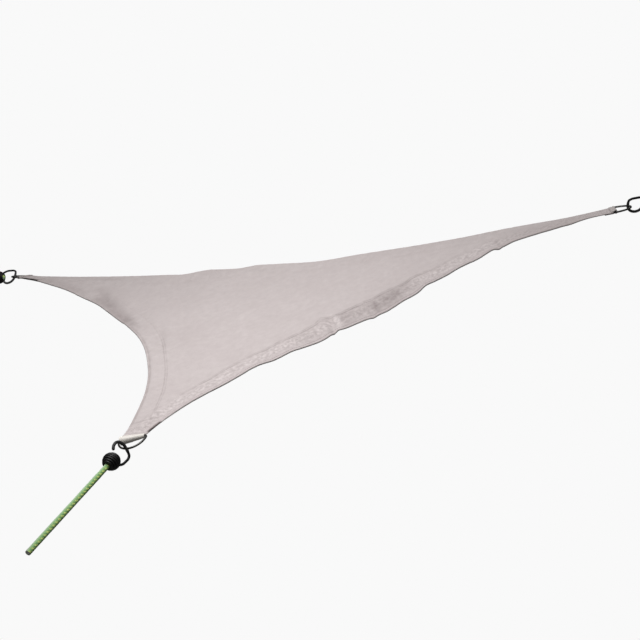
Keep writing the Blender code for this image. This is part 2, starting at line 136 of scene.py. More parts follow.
# Soft strokes of painted shade, and below nought of painted highlight, beside an edge: shade in creases,
# hollows and under the hem, light along a crease.
STROKES = (
    # edge    share  depth  share  depth  width  ends   tone
    ("front", 0.430, 26.0,  0.571, 25.0,  21.0,  7.0,   0.24),
    ("front", 0.385, 28.0,  0.495, 30.0,  19.0,  44.0,  0.27),
    ("front", 0.060, 20.0,  0.190, 26.0,  30.0,  60.0,  0.14),
    ("front", 0.4935, 5.0,  0.4935, 44.0, 4.0,   8.0,   0.26),
    ("front", 0.566, 6.0,   0.570, 44.0,  4.0,   6.0,   0.18),
    ("front", 0.574, 4.0,   0.5785, 56.0, 3.2,   12.0,  -0.24),
    ("front", 0.966, 0.5,   0.995, 0.5,   3.6,   6.0,   1.90),
    ("left",  0.039, 5.0,   0.045, 55.0,  2.8,   8.0,   0.26),
    ("front", 0.620, 26.0,  0.662, 24.0,  15.0,  30.0,  0.18),
    ("front", 0.208, 4.0,   0.214, 40.0,  5.0,   8.0,   0.22),
    ("left",  0.475, 7.0,   0.700, 16.0,  15.0,  70.0,  0.42),
    ("left",  0.670, 30.0,  0.735, 50.0,  14.0,  60.0,  0.16),
    ("left",  0.740, 12.0,  0.930, 10.0,  16.0,  90.0,  0.20),
    ("left",  0.905, 1.0,   0.978, 1.5,   5.0,   8.0,   2.10),
    ("left",  0.440, 14.0,  0.520, 12.0,  8.0,   40.0,  0.14),
    ("left",  0.030, 3.0,   0.260, 4.0,   2.8,   14.0,  0.30),
    ("left",  0.260, 6.0,   0.470, 4.0,   3.0,   14.0,  0.20),
    ("left",  0.310, 39.0,  0.400, 56.0,  5.5,   30.0,  0.14),
    ("top",   0.170, 19.0,  0.220, 19.0,  5.0,   40.0,  0.18),
    ("top",   0.455, 24.0,  0.500, 30.0,  8.0,   30.0,  0.08),
)

STROKE_STEPS = 9            # points of a stroke's line

# Short creases, each from one flat point to another.
CREASES = (
    # x0    y0     x1     y1     width  depth
    (459.0, 138.0, 441.0, 84.0,  6.0,   3.2),
    (443.0, 136.0, 425.0, 86.0,  7.0,   -1.8),
    (545.0, 124.0, 522.0, 70.0,  7.0,   2.4),
    (833.0, 120.0, 822.0, 78.0,  6.0,   3.0),
    (131.0, 722.0, 138.0, 545.0, 14.0,  3.6),
    (126.0, 742.0, 128.0, 640.0, 9.0,   2.2),
    (627.0, 315.0, 561.0, 276.0, 12.0,  1.6),
)

# Long slack waves of the cloth: wavelength, heading, phase and rise.
WAVES = (
    (330.0, 28.0, 0.6, 1.3),
    (214.0, 104.0, 2.1, 0.8),
    (137.0, 61.0, 4.0, 0.45),
    (88.0, -19.0, 5.2, 0.22),
    (61.0, 83.0, 1.1, 0.14),
)

# Folds that the pull draws out of a corner: heading, half width in degrees, reach and depth.
PULL_FOLDS = (
    # corner   heading  width  reach  depth
    ("front",  62.0,    4.5,   240.0, 1.0),
    ("front",  44.0,    4.0,   190.0, -0.8),
    ("front",  28.0,    3.5,   260.0, 0.9),
    ("left",   -71.0,   2.6,   420.0, 1.3),
    ("left",   -61.0,   2.2,   360.0, -0.9),
    ("left",   -54.0,   1.8,   300.0, 0.9),
    ("right",  170.0,   1.8,   360.0, 0.9),
    ("right",  160.0,   2.2,   420.0, -0.9),
    ("right",  152.0,   2.0,   300.0, 0.9),
)

# Small puckers along a hem: wavelength along the edge, phase, rise.
PUCKERS = ((31.0, 0.4, 0.42), (19.0, 2.2, 0.30), (12.5, 4.4, 0.16))

EDGE_STITCH = 6.0           # the stitch lines' distance in from the edge
HEM_STITCH = 43.0
CORNER_STITCHES = (27.0, 33.0)      # and back from the bar, across a corner
HEM_TILT = 0.13             # share of an edge's droop that is left where its hem ends
ROLL = 1.3                  # how much thicker the turned edge is than the rest of its hem
PUFF = 0.35                 # how much thicker the hem is halfway between its stitch lines
PINCH = 0.75                # how much thinner it is at them
CURL = 0.9                  # how far the very edge curls down
CALM_REACH = (34.0, 110.0)  # distances from a ring at which the cloth is still smooth, and is slack
STITCH_STEP = 4.4
STITCH_SIZE = (3.2, 0.72)   # length and width
LOOP_STITCH_SIZE = (1.9, 0.5)
STITCH_MARGIN = 4.2         # no stitch is nearer to an edge
STITCH_END = 24.0           # nor to a ring
CORNER_SHADE = 0.35         # how dark the stitching is at a corner

# The cloth's grid: an arm from each corner to the middle, with its rows laid across.
MIDDLE = (300.0, 290.0)
EDGE_SPLIT = {"left": 0.42, "top": 0.45, "front": 0.59}     # where along an edge its two arms meet
ARM_ROWS = {"front": 130, "left": 240, "right": 262}
HEM_COLUMNS = (0.0, 0.2, 0.6, 1.2, 2.2, 3.6, 4.8, 6.0, 7.4, 10.0, 14.0, 18.5, 23.5, 29.0, 34.0, 38.0,
               41.4, 43.0, 44.6, 46.0, 47.6, 50.0)
INNER_COLUMNS = 13

# The hook's wire from the ball round to its tip: along the tie, and to its side.
HOOK_PATH = ((66.0, -11.5), (60.0, -16.5), (53.0, -19.8), (45.0, -20.6), (37.0, -20.6), (31.5, -18.0),
             (29.3, -12.0), (28.6, -5.0), (28.6, 2.0), (31.0, 9.5), (36.0, 15.5), (43.0, 18.3),
             (49.5, 17.2), (54.0, 13.6))
HOOK_SADDLE = 28.6          # where the ring bears on it
HOOK_STEPS = 110
DIP_START = 51              # the step where its dipped end begins
DIP_COVER = 6               # steps of bare wire inside the dip
BALL_RADII = (8.6, 11.6, 13.4, 14.1, 13.6, 12.0, 9.2)

# How much fuller the satin lies round the bar than it must: at the bar's start and at its end.
LEAST_FULL = 0.3
LOOP_FULLNESS = {"front": (7.4, LEAST_FULL), "left": (LEAST_FULL, LEAST_FULL),
                 "right": (LEAST_FULL, LEAST_FULL)}
WRAP = 112.0                # degrees that it turns round the bar, up and down
WRAP_END = 2.6              # how far behind the bar its flat tails begin

STRANDS = 8                 # strands of the braid each way round
LAY = 32.0                  # length of one turn of a strand
BRAID_RELIEF = 0.42
CORD_STEP = 0.62
CORD_SIDES = 64
CUT_FACE = ((0.0, 4.3), (0.6, 3.9), (0.8, 0.0))     # the cut end: distance back, and radius
CUT_DEPTH = 0.95            # the core shows this far back
CORE_RADIUS = 4.0
CORE_STRAND = 0.52          # radius of one strand's end
CORE_RING = 1.08            # from one ring of strands to the next
CORD_TIP = 6.2              # radius of the cord's swollen end in the ball's mouth
CORD_TIP_LENGTH = 4.3
CORD_TIP_SEAT = BALL_START + 2.4
CORD_TIP_SIDES = 48


# ---------------------------------------------------------------- frames

def unit(v):
    v = np.asarray(v, dtype=float)
    return v / np.linalg.norm(v)


def units(v):
    return v / np.linalg.norm(v, axis=-1, keepdims=True)


def heading(degrees, lift=0.0):
    """A direction in the flat frame, lifted off the cloth by some degrees."""
    a, b = math.radians(degrees), math.radians(lift)
    return np.array([math.cos(a) * math.cos(b), math.sin(a) * math.cos(b), math.sin(b)])


def world_axes():
    """Rows: the world's X, Y and Z in the flat frame. X runs level from the left to the right corner."""
    up = np.array([RIGHT_RISE / LEG, LEFT_RISE / LEG, 0.0])
    up[2] = math.sqrt(1.0 - up[0] ** 2 - up[1] ** 2)
    across = unit([1.0, -1.0, 0.0])
    across = unit(across - (across @ up) * up)
    return np.array([across, np.cross(up, across), up])


class Corner:
    """Where one corner's ring, cloth end and tie lie in the flat frame."""

    def __init__(self, name):
        x, y, ring, twist, pull, lift, hook, tail_start, tail_end = CORNERS[name]
        self.name = name
        self.place = np.array([x, y, 0.0])
        self.ring_way = heading(ring)
        flat_bar = heading(ring + 90.0)
        t = math.radians(twist)
        self.bar = math.cos(t) * flat_bar + math.sin(t) * np.array([0.0, 0.0, 1.0])
        self.flat_bar = flat_bar
        self.slope = math.tan(t)
        self.normal = np.cross(self.ring_way, self.bar)
        self.pull = heading(pull, lift)
        upright = unit(np.array([0.0, 0.0, 1.0]) - self.pull[2] * self.pull)
        beside = np.cross(self.pull, upright)
        h = math.radians(hook)
        self.hook_side = math.cos(h) * upright + math.sin(h) * beside
        self.tails = (tail_start, tail_end)
        swung = heading(ring, lift)
        self.bow_way = unit(swung - (swung @ self.bar) * self.bar)
        bow = 1.0 / math.hypot(self.pull @ self.bar / RING_HALF_WIDTH,
                               self.pull @ self.bow_way / RING_DEPTH)
        self.seat = bow - 0.5 * RING_WIRE - HOOK_GAP - 0.5 * HOOK_TIP - HOOK_SADDLE

    def tie_point(self, along, side=0.0):
        return self.place + (along + self.seat) * self.pull + side * self.hook_side

    def cloth_end(self, side):
        back = self.place - END_SETBACK * self.ring_way
        return (back + side * 0.5 * END_WIDTH * self.flat_bar)[:2]

    def tail(self, share):
        """How far the webbing reaches back over the cloth, at a share of the bar."""
        return self.tails[0] + share * (self.tails[1] - self.tails[0])


CORNER = {name: Corner(name) for name in CORNERS}
AXES = world_axes()
ANCHOR = CORNER["right"].tie_point(BALL_END)


def world(points):
    return (np.asarray(points, dtype=float) - ANCHOR) @ AXES.T * MM


def world_way(ways):
    return np.asarray(ways, dtype=float) @ AXES.T


def smoothstep(low, high, x):
    t = np.clip((x - low) / (high - low), 0.0, 1.0)
    return t * t * (3.0 - 2.0 * t)


def smooth_table(rows, x):
    """A smooth curve through a table's rows: first column against each of the others."""
    rows = np.asarray(rows, dtype=float)
    t, values = rows[:, 0], rows[:, 1:]
    step = np.diff(t)[:, None]
    slope = np.diff(values, axis=0) / step
    tangent = np.empty_like(values)
    tangent[1:-1] = (slope[:-1] * step[1:] + slope[1:] * step[:-1]) / (step[:-1] + step[1:])
    tangent[0] = 2.0 * slope[0] - tangent[1]
    tangent[-1] = 2.0 * slope[-1] - tangent[-2]
    x = np.clip(x, t[0], t[-1])
    i = np.clip(np.searchsorted(t, x) - 1, 0, len(t) - 2)
    w = t[i + 1] - t[i]
    u = ((x - t[i]) / w)[:, None]
    w = w[:, None]
    start, end = values[i], values[i + 1]
    m0, m1 = tangent[i] * w, tangent[i + 1] * w
    return ((2 * u ** 3 - 3 * u ** 2 + 1) * start + (u ** 3 - 2 * u ** 2 + u) * m0
            + (3 * u ** 2 - 2 * u ** 3) * end + (u ** 3 - u ** 2) * m1)


# ---------------------------------------------------------------- the cloth's shape

class Edge:
    """One edge of the cloth, walked clockwise, so the cloth is on its right."""

    def __init__(self, name):
        start, end, self.rows = EDGES[name]
        self.seam = SEAMS[name]
        self.start = CORNER[start].cloth_end(-1)
        run = CORNER[end].cloth_end(1) - self.start
        self.length = np.linalg.norm(run)
        self.way = run / self.length
        self.inward = np.array([self.way[1], -self.way[0]])

    def slope(self, shares, step):
        """How the edge slants against its straight way, measured over a step to each side."""
        ahead, behind = smooth_table(self.rows, shares + step), smooth_table(self.rows, shares - step)
        return (ahead - behind)[:, 0] / (2.0 * step * self.length)

    def points(self, shares):
        """Points of the edge in the flat frame, and the edge's own direction at each."""
        inset = smooth_table(self.rows, shares)[:, 0]
        place = self.start + np.outer(shares * self.length, self.way) + np.outer(inset, self.inward)
        return place, units(self.way + np.outer(self.slope(shares, 0.002), self.inward))

    def share(self, flat):
        return (flat - self.start) @ self.way / self.length

    def depth(self, flat):
        """How far in from the edge each flat point lies, and the edge's droop beside it."""
        share = self.share(flat)
        table = smooth_table(self.rows, share)
        inward = (flat - self.start) @ self.inward - table[:, 0]
        return inward / np.sqrt(1.0 + self.slope(share, 0.005) ** 2), table[:, 1]

    def seam_shade(self, flat):
        return smooth_table(self.seam, self.share(flat))[:, 1]

    def stretch(self, shares):
        """How wide the hem is there, against its usual width."""
        return smooth_table(self.seam, shares)[:, 0] / HEM_STITCH

    def hem_depth(self, flat):
        """Depth in from the edge, reckoned so that the inner seam is always at the same mark."""
        return self.depth(flat)[0] / self.stretch(self.share(flat))

    def inside(self, shares, depths):
        """Flat points a depth in from the edge."""
        places, tangents = self.points(shares)
        return places + depths[:, None] * np.column_stack([tangents[:, 1], -tangents[:, 0]])


EDGE = {name: Edge(name) for name in EDGES}


def edge_depth(flat):
    """Distance in from the nearest edge."""
    return np.min([edge.depth(flat)[0] for edge in EDGE.values()], axis=0)


def hem_depth(flat):
    return np.min([edge.hem_depth(flat) for edge in EDGE.values()], axis=0)


def ring_distance(flat):
    """Distance from the nearest ring's bar."""
    return np.min([np.linalg.norm(flat - c.place[:2], axis=1) for c in CORNER.values()], axis=0)


def line_distance(flat, start, end):
    run = end - start
    along = np.clip((flat - start) @ run / (run @ run), 0.0, 1.0)
    return np.linalg.norm(flat - start - along[:, None] * run, axis=1)


def tone(flat):
    """How much painted shade darkens the cloth, or below nought how much painted highlight lightens it,
    against its plain colour.
    """
    total = np.zeros(len(flat))
    for name, share0, depth0, share1, depth1, width, ends, strength in STROKES:
        line = EDGE[name].inside(np.linspace(share0, share1, STROKE_STEPS),
                                 np.linspace(depth0, depth1, STROKE_STEPS))
        away = np.min([line_distance(flat, a, b) for a, b in zip(line, line[1:])], axis=0)
        run = line[-1] - line[0]
        length = np.linalg.norm(run)
        along = (flat - line[0]) @ run / length
        begun = smoothstep(-0.5 * ends, 0.5 * ends, along)
        over = smoothstep(length - 0.5 * ends, length + 0.5 * ends, along)
        total += strength * (begun * (1.0 - over)) * np.exp(-(away / width) ** 2)
    return total


def creases(flat):
    deep = np.zeros(len(flat))
    for x0, y0, x1, y1, width, depth in CREASES:
        away = line_distance(flat, np.array([x0, y0]), np.array([x1, y1]))
        deep += depth * np.exp(-(away / width) ** 2)
    return deep


def droop_share(depth):
    """An edge's droop: even across the hem, then fading out into the cloth."""
    in_hem = 1.0 - (1.0 - HEM_TILT) * np.minimum(depth, HEM_WIDTH) / HEM_WIDTH
    beyond = HEM_TILT * np.clip(1.0 - (depth - HEM_WIDTH) / (DROP_REACH - HEM_WIDTH), 0.0, 1.0) ** 2
    return np.where(depth < HEM_WIDTH, in_hem, beyond)


def height(flat):
    """How far the cloth's middle stands off its flat frame, before its small unevenness."""
    share_right = flat[:, 0] / LEG
    share_left = flat[:, 1] / LEG
    share_front = 1.0 - share_right - share_left
    bowl = 1.5 * (1.0 - share_right ** 2 - share_left ** 2 - share_front ** 2)      # one in the middle
    z = -SAG * bowl
    for corner in CORNER.values():
        offset = flat - corner.place[:2]
        far = np.sum(offset ** 2, axis=1) / TWIST_REACH ** 2
        z += corner.slope * (offset @ corner.flat_bar[:2]) * np.exp(-far)
    for edge in EDGE.values():
        depth, droop = edge.depth(flat)
        z -= droop * droop_share(depth)
    return z - creases(flat)


def calm(flat):
    """Nought beside the rings, one out on the cloth."""
    return smoothstep(*CALM_REACH, ring_distance(flat))


def unevenness(flat):
    """Slack waves, folds that the pull draws out of the corners, and the hem's puckers."""
    loose = calm(flat)
    z = np.zeros(len(flat))
    for length, way, phase, rise in WAVES:
        z += rise * np.sin(2.0 * math.pi * (flat @ heading(way)[:2]) / length + phase)
    z *= smoothstep(0.0, 60.0, edge_depth(flat)) * 0.8 + 0.2
    for name, way, width, reach, depth in PULL_FOLDS:
        offset = flat - CORNER[name].place[:2]
        turn = np.degrees(np.arctan2(offset[:, 1], offset[:, 0])) - way
        turn = (turn + 180.0) % 360.0 - 180.0
        far = np.linalg.norm(offset, axis=1)
        fade = smoothstep(24.0, 90.0, far) * (1.0 - smoothstep(0.45 * reach, reach, far))
        z -= depth * fade * np.exp(-(turn / width) ** 2)
    for edge in EDGE.values():
        depth, _ = edge.depth(flat)
        along = edge.share(flat) * edge.length
        ripple = sum(rise * np.sin(2.0 * math.pi * along / length + phase)
                     for length, phase, rise in PUCKERS)
        swell = 0.6 + 0.4 * np.sin(along / 61.0 + 1.3) * np.sin(along / 23.0)
        reach = np.exp(-((depth - 24.0) / 21.0) ** 2) + 0.5 * np.exp(-((depth - HEM_STITCH) / 7.0) ** 2)
        z += ripple * swell * reach
        z -= CURL * np.exp(-(depth / 3.4) ** 2)
    return z * loose


def surface(flat):
    """Flat-frame points of the cloth's middle, and the way its upper face looks there."""
    def lift(points):
        return height(points) + unevenness(points)

    probe = 0.6
    slope_x = (lift(flat + (probe, 0.0)) - lift(flat - (probe, 0.0))) / (2.0 * probe)
    slope_y = (lift(flat + (0.0, probe)) - lift(flat - (0.0, probe))) / (2.0 * probe)
    normal = units(np.column_stack([-slope_x, -slope_y, np.ones(len(flat))]))
    return np.column_stack([flat, lift(flat)]), normal


def thickness(flat):
    """The hem is double, a little puffed between its stitch lines and pinched at them."""
    depth = hem_depth(flat)
    loose = calm(flat)
    in_hem = 1.0 - smoothstep(HEM_WIDTH - 0.4, HEM_FOLD, depth)
    thick = CLOTH + (HEM - CLOTH) * in_hem
    between = np.clip((depth - EDGE_STITCH) / (HEM_STITCH - EDGE_STITCH), 0.0, 1.0)
    thick += PUFF * loose * np.sin(math.pi * between)
    thick += ROLL * loose * np.exp(-(depth / 3.6) ** 4)
    for line in (EDGE_STITCH, HEM_STITCH):
        thick -= PINCH * loose * np.exp(-((depth - line) / 1.7) ** 2)
    rim = np.sqrt(np.clip(1.0 - (1.0 - np.clip(depth / 1.6, 0.0, 1.0)) ** 2, 0.12, 1.0))
    return thick * rim


def half_rows(edge, shares, middles):
    """For each share of an edge, flat points from the edge in to the arm's middle line."""
    places, tangents = edge.points(shares)
    runs = middles - places
    reach = np.linalg.norm(runs, axis=1)
    ways = runs / reach[:, None]
    squareness = np.abs(ways[:, 0] * tangents[:, 1] - ways[:, 1] * tangents[:, 0])
    hem = np.array(HEM_COLUMNS)[None, :] * (edge.stretch(shares) / squareness)[:, None]
    hem *= np.minimum(1.0, 0.8 * reach / hem[:, -1])[:, None]
    share = np.linspace(0.0, 1.0, INNER_COLUMNS + 1)[1:]
    inner = hem[:, -1:] + share[None, :] * (reach[:, None] - hem[:, -1:])
    away = np.concatenate([hem, inner], axis=1)
    return places[:, None, :] + away[:, :, None] * ways[:, None, :]


def arm_rows(name):
    """The flat points of one arm of the cloth, from its corner's end to the cloth's middle."""
    leaving = next(e for e in EDGES if EDGES[e][0] == name)
    arriving = next(e for e in EDGES if EDGES[e][1] == name)
    corner = CORNER[name]
    tip = 0.5 * (corner.cloth_end(-1) + corner.cloth_end(1))
    s = np.linspace(0.0, 1.0, ARM_ROWS[name] + 1)
    middles = tip + s[:, None] * (np.array(MIDDLE) - tip)
    first = half_rows(EDGE[leaving], s * EDGE_SPLIT[leaving], middles)
    last = half_rows(EDGE[arriving], 1.0 - s * (1.0 - EDGE_SPLIT[arriving]), middles)
    return np.concatenate([first, last[:, -2::-1]], axis=1)


# ---------------------------------------------------------------- node tools

def srgb(red, green, blue):
    """A colour given as screen values, made linear."""
    def linear(v):
        v /= 255.0
        return v / 12.92 if v <= 0.04045 else ((v + 0.055) / 1.055) ** 2.4
    return (linear(red), linear(green), linear(blue), 1.0)


class Nodes:
    """Adds and joins the nodes of one tree."""

    def __init__(self, tree):
        self.tree = tree

    def add(self, kind, inputs=None, **settings):
        node = self.tree.nodes.new(kind)
        for name, value in settings.items():
            setattr(node, name, value)
        for name, value in (inputs or {}).items():
            self.feed(node.inputs[name], value)
        return node

    def feed(self, socket, value):
        if isinstance(value, bpy.types.NodeSocket):
            self.tree.links.new(value, socket)
        else:
            socket.default_value = value

    def math(self, operation, first, second=None, third=None, clamp=False):
        node = self.add("ShaderNodeMath", operation=operation, use_clamp=clamp)
        for socket, value in zip(node.inputs, (first, second, third)):
            if value is not None:
                self.feed(socket, value)
        return node.outputs[0]

    def wave(self, value):
        """A sine, its value counted in half turns."""
        return self.math("SINE", self.math("MULTIPLY", value, math.pi))

    def cells(self, first, second):
        """The number of the cell that two counts fall in, and whether it is odd."""
        count = self.math("ADD", self.math("FLOOR", first), self.math("FLOOR", second))
        return count, self.math("FLOORED_MODULO", count, 2.0)

    def either(self, which, first, second):
        return self.add("ShaderNodeMix", {"Factor": which, "A": first, "B": second}).outputs[0]

    def mix(self, factor, first, second):
        """One colour going over into another. Each is a socket, or three screen values."""
        node = self.add("ShaderNodeMix", data_type="RGBA")
        for number, value in ((0, factor), (6, first), (7, second)):
            self.feed(node.inputs[number], srgb(*value) if isinstance(value, tuple) else value)
        return node.outputs[2]

    def tint(self, colour, mask, share, shade):
        """A colour with a share of another laid over it where the mask is."""
        return self.mix(self.math("MULTIPLY", mask, share), colour, shade)

    def spread(self, value, low, high, to_low, to_high, smooth=False):
        node = self.add("ShaderNodeMapRange", interpolation_type="SMOOTHSTEP" if smooth else "LINEAR")
        for socket, given in zip(node.inputs, (value, low, high, to_low, to_high)):
            self.feed(socket, given)
        return node.outputs[0]

    def split(self, vector):
        return tuple(self.add("ShaderNodeSeparateXYZ", {"Vector": vector}).outputs)

    def noise(self, vector, scale, detail, roughness):
        node = self.add("ShaderNodeTexNoise", {"Vector": vector, "Scale": scale, "Detail": detail,
                                               "Roughness": roughness})
        return node.outputs["Fac"]

    def own_map(self):
        return self.add("ShaderNodeUVMap", uv_map="UVMap").outputs["UV"]

    def place(self):
        return self.add("ShaderNodeTexCoord").outputs["Object"]

    def attribute(self, name):
        return self.add("ShaderNodeAttribute", attribute_name=name).outputs["Fac"]

    def group(self, made, **inputs):
        return self.add("ShaderNodeGroup", inputs, node_tree=made).outputs

    def mottle(self, vector, size):
        return self.group(MOTTLE, Vector=vector, Size=size)

    def line(self, distance, mark, width):
        return self.group(LINE, Distance=distance, Mark=mark, Width=width)["Mask"]


def new_group(name, inputs, outputs):
    """A shader node group, and the nodes at its two ends. An input without a value takes a vector."""
    tree = bpy.data.node_groups.new(name, "ShaderNodeTree")
    for socket, value in inputs.items():
        kind = "NodeSocketVector" if value is None else "NodeSocketFloat"
        made = tree.interface.new_socket(socket, in_out="INPUT", socket_type=kind)
        if value is not None:
            made.default_value = value
    for socket in outputs:
        tree.interface.new_socket(socket, in_out="OUTPUT", socket_type="NodeSocketFloat")
    nodes = Nodes(tree)
    return nodes, nodes.add("NodeGroupInput").outputs, nodes.add("NodeGroupOutput").inputs


def weave_group():
    """Plain weave: threads over and under, at a pitch in metres."""
    nodes, given, out = new_group("plain weave", {"Vector": None, "Pitch": 0.001}, ("Height", "Gap"))
    x, y = (nodes.math("DIVIDE", way, given["Pitch"]) for way in nodes.split(given["Vector"])[:2])
    over_x, over_y = (nodes.math("ABSOLUTE", nodes.wave(way)) for way in (x, y))
    _, odd = nodes.cells(x, y)
    warp = nodes.math("MULTIPLY", over_x, nodes.spread(over_y, 0.0, 1.0, 0.45, 1.0))
    weft = nodes.math("MULTIPLY", over_y, nodes.spread(over_x, 0.0, 1.0, 0.45, 1.0))
    both = nodes.either(odd, warp, weft)
    nodes.feed(out["Height"], both)
    nodes.feed(out["Gap"], nodes.spread(both, 0.0, 0.35, 1.0, 0.0, smooth=True))
    return nodes.tree


def mottle_group():
    """Uneven tone of a woven or coated stuff: broad clouds, and fine specks."""
    nodes, given, out = new_group("mottle", {"Vector": None, "Size": 0.05}, ("Cloud", "Speck"))
    scale = nodes.math("DIVIDE", 1.0, given["Size"])
    cloud = nodes.noise(given["Vector"], scale, 4.0, 0.6)
    speck = nodes.noise(given["Vector"], nodes.math("MULTIPLY", scale, 14.0), 2.0, 0.7)
    nodes.feed(out["Cloud"], nodes.spread(cloud, 0.3, 0.7, 0.0, 1.0))
    nodes.feed(out["Speck"], nodes.spread(speck, 0.32, 0.68, 0.0, 1.0))
    return nodes.tree


def line_group():
    """A soft line where a distance passes a mark."""
    nodes, given, out = new_group("soft line", {"Distance": 0.0, "Mark": 0.0, "Width": 1.0}, ("Mask",))
    away = nodes.math("ABSOLUTE", nodes.math("SUBTRACT", given["Distance"], given["Mark"]))
    away = nodes.math("DIVIDE", away, given["Width"])
    nodes.feed(out["Mask"], nodes.spread(away, 0.0, 1.0, 1.0, 0.0, smooth=True))
    return nodes.tree


def braid_group():
    """Braided sheath, from a map of the share round the cord and the turns along it."""
    nodes, given, out = new_group("braid", {"Vector": None}, ("Height", "Tracer", "Gap", "Yarn"))
    u, v, _ = nodes.split(given["Vector"])
    right, left = (nodes.math("MULTIPLY", nodes.math(way, u, v), float(STRANDS))
                   for way in ("ADD", "SUBTRACT"))
    over_right, over_left = (nodes.wave(nodes.math("FRACT", way)) for way in (right, left))
    count, odd = nodes.cells(right, left)
    across = nodes.either(odd, over_right, over_left)
    along = nodes.either(odd, over_left, over_right)
    rounded = nodes.math("POWER", across, 0.6)
    nodes.feed(out["Height"], nodes.math("MULTIPLY", rounded, nodes.spread(along, 0.0, 1.0, 0.4, 1.0)))
    which = nodes.math("FLOORED_MODULO", nodes.math("FLOOR", right), 2.0)
    row = nodes.math("COMPARE", nodes.math("FLOORED_MODULO", count, 8.0), 6.5, 1.0)
    nodes.feed(out["Tracer"], nodes.math("MULTIPLY", nodes.math("SUBTRACT", 1.0, which), row))
    nodes.feed(out["Gap"], nodes.spread(across, 0.0, 0.5, 1.0, 0.0, smooth=True))
    fine = nodes.math("SINE", nodes.math("MULTIPLY", nodes.math("ADD", right, left), 21.0))
    nodes.feed(out["Yarn"], nodes.spread(fine, -1.0, 1.0, 0.0, 1.0))
    return nodes.tree




WEAVE = weave_group()
MOTTLE = mottle_group()
LINE = line_group()
BRAID = braid_group()


def new_material(name, roughness, metallic=0.0, **constants):
    """A material with its own shader. Constants go straight on the shader's sockets."""
    made = bpy.data.materials.new(name)
    made.use_nodes = True
    nodes = Nodes(made.node_tree)
    shader = made.node_tree.nodes["Principled BSDF"]
    shader.inputs["Roughness"].default_value = roughness
    shader.inputs["Metallic"].default_value = metallic
    for socket, value in constants.items():
        shader.inputs[socket.replace("_", " ")].default_value = value
    return made, nodes, shader


def dress(nodes, shader, colour, rough, relief, distance, strength):
    """Join a colour, a roughness where it varies, and a relief to the shader."""
    nodes.feed(shader.inputs["Base Color"], colour)
    if rough is not None:
        nodes.feed(shader.inputs["Roughness"], rough)
    node = nodes.add("ShaderNodeBump", {"Height": relief, "Strength": strength, "Distance": distance})
    nodes.feed(shader.inputs["Normal"], node.outputs["Normal"])


def cloth_material():
    """Pale taupe woven cloth: fine weave, clouded tone, and painted shade and highlight at stitching,
    edge and creases.
    """
    made, nodes, shader = new_material("taupe weave", 0.92, Sheen_Weight=0.08, Sheen_Roughness=0.5,
                                       Specular_IOR_Level=0.2)
    uv = nodes.own_map()
    weave = nodes.group(WEAVE, Vector=uv, Pitch=0.0011)
    middling, fine = nodes.mottle(uv, 0.021), nodes.mottle(uv, 0.013)
    colour = nodes.mix(nodes.mottle(uv, 0.09)["Cloud"], (194, 184, 183), (202, 193, 192))
    colour = nodes.tint(colour, middling["Cloud"], 0.45, (183, 172, 172))
    colour = nodes.tint(colour, fine["Cloud"], 0.45, (177, 167, 166))
    colour = nodes.tint(colour, fine["Speck"], 0.25, (222, 214, 212))
    # Darker in the gaps between the threads: painted shade.
    colour = nodes.tint(colour, weave["Gap"], 0.20, (120, 108, 107))

    # The front hem is lighter and darker in small patches.
    in_hem = nodes.line(nodes.attribute("front_depth"), 25.0, 26.0)
    hem_patches = nodes.mottle(uv, 0.0075)["Cloud"]
    colour = nodes.tint(colour, in_hem, nodes.spread(hem_patches, 0.35, 1.0, 0.0, 0.50), (230, 221, 220))
    colour = nodes.tint(colour, in_hem, nodes.spread(hem_patches, 0.65, 0.0, 0.0, 0.34), (140, 129, 128))

    # Painted shade along the two stitch lines and along the hem's step.
    seams = ((EDGE_STITCH, 1.7, 0.24), (HEM_STITCH, 2.8, 0.44), (HEM_FOLD, 2.6, 0.40))
    uneven = nodes.spread(fine["Cloud"], 0.1, 0.8, 0.3, 1.0)
    for name in EDGES:
        depth = nodes.attribute(name + "_depth")
        plain = nodes.math("MULTIPLY", uneven, nodes.attribute(name + "_seam"))
        for mark, width, weight in seams:
            share = nodes.math("MULTIPLY", plain, weight)
            colour = nodes.tint(colour, nodes.line(depth, mark, width), share, (112, 99, 98))
        # A darker line along the very edge: painted shade of its rim.
        colour = nodes.tint(colour, nodes.line(depth, 0.0, 2.0), 0.36, (118, 107, 105))

    # The strokes: painted shade, black past one; below nought, painted highlight.
    broken = nodes.spread(middling["Cloud"], 0.0, 1.0, 0.7, 1.2)
    painted_shade = nodes.math("MULTIPLY", nodes.attribute("tone"), broken)
    painted_highlight = nodes.math("MULTIPLY", painted_shade, -1.0)
    colour = nodes.mix(nodes.math("MAXIMUM", painted_shade, 0.0), colour, (122, 110, 109))
    colour = nodes.mix(nodes.math("SUBTRACT", painted_shade, 1.0, clamp=True), colour, (48, 43, 41))
    colour = nodes.mix(nodes.math("MAXIMUM", painted_highlight, 0.0), colour, (240, 232, 230))
    relief = nodes.math("ADD", weave["Height"], nodes.math("MULTIPLY", fine["Speck"], 0.6))
    dress(nodes, shader, colour, nodes.spread(fine["Cloud"], 0.0, 1.0, 0.86, 0.97), relief, 0.00022, 0.7)
    return made


def thread_material():
    """Sewing thread in the cloth's own taupe, darker with painted shade where a seam shows plainly."""
    made, nodes, shader = new_material("hem thread", 0.7, Sheen_Weight=0.1)
    mottle = nodes.mottle(nodes.place(), 0.03)
    plain = nodes.mix(mottle["Cloud"], (186, 176, 174), (202, 192, 190))
    dark = nodes.mix(mottle["Cloud"], (128, 117, 115), (150, 139, 137))
    colour = nodes.mix(nodes.attribute("shade"), plain, dark)
    dress(nodes, shader, colour, None, mottle["Speck"], 0.0001, 0.6)
    return made


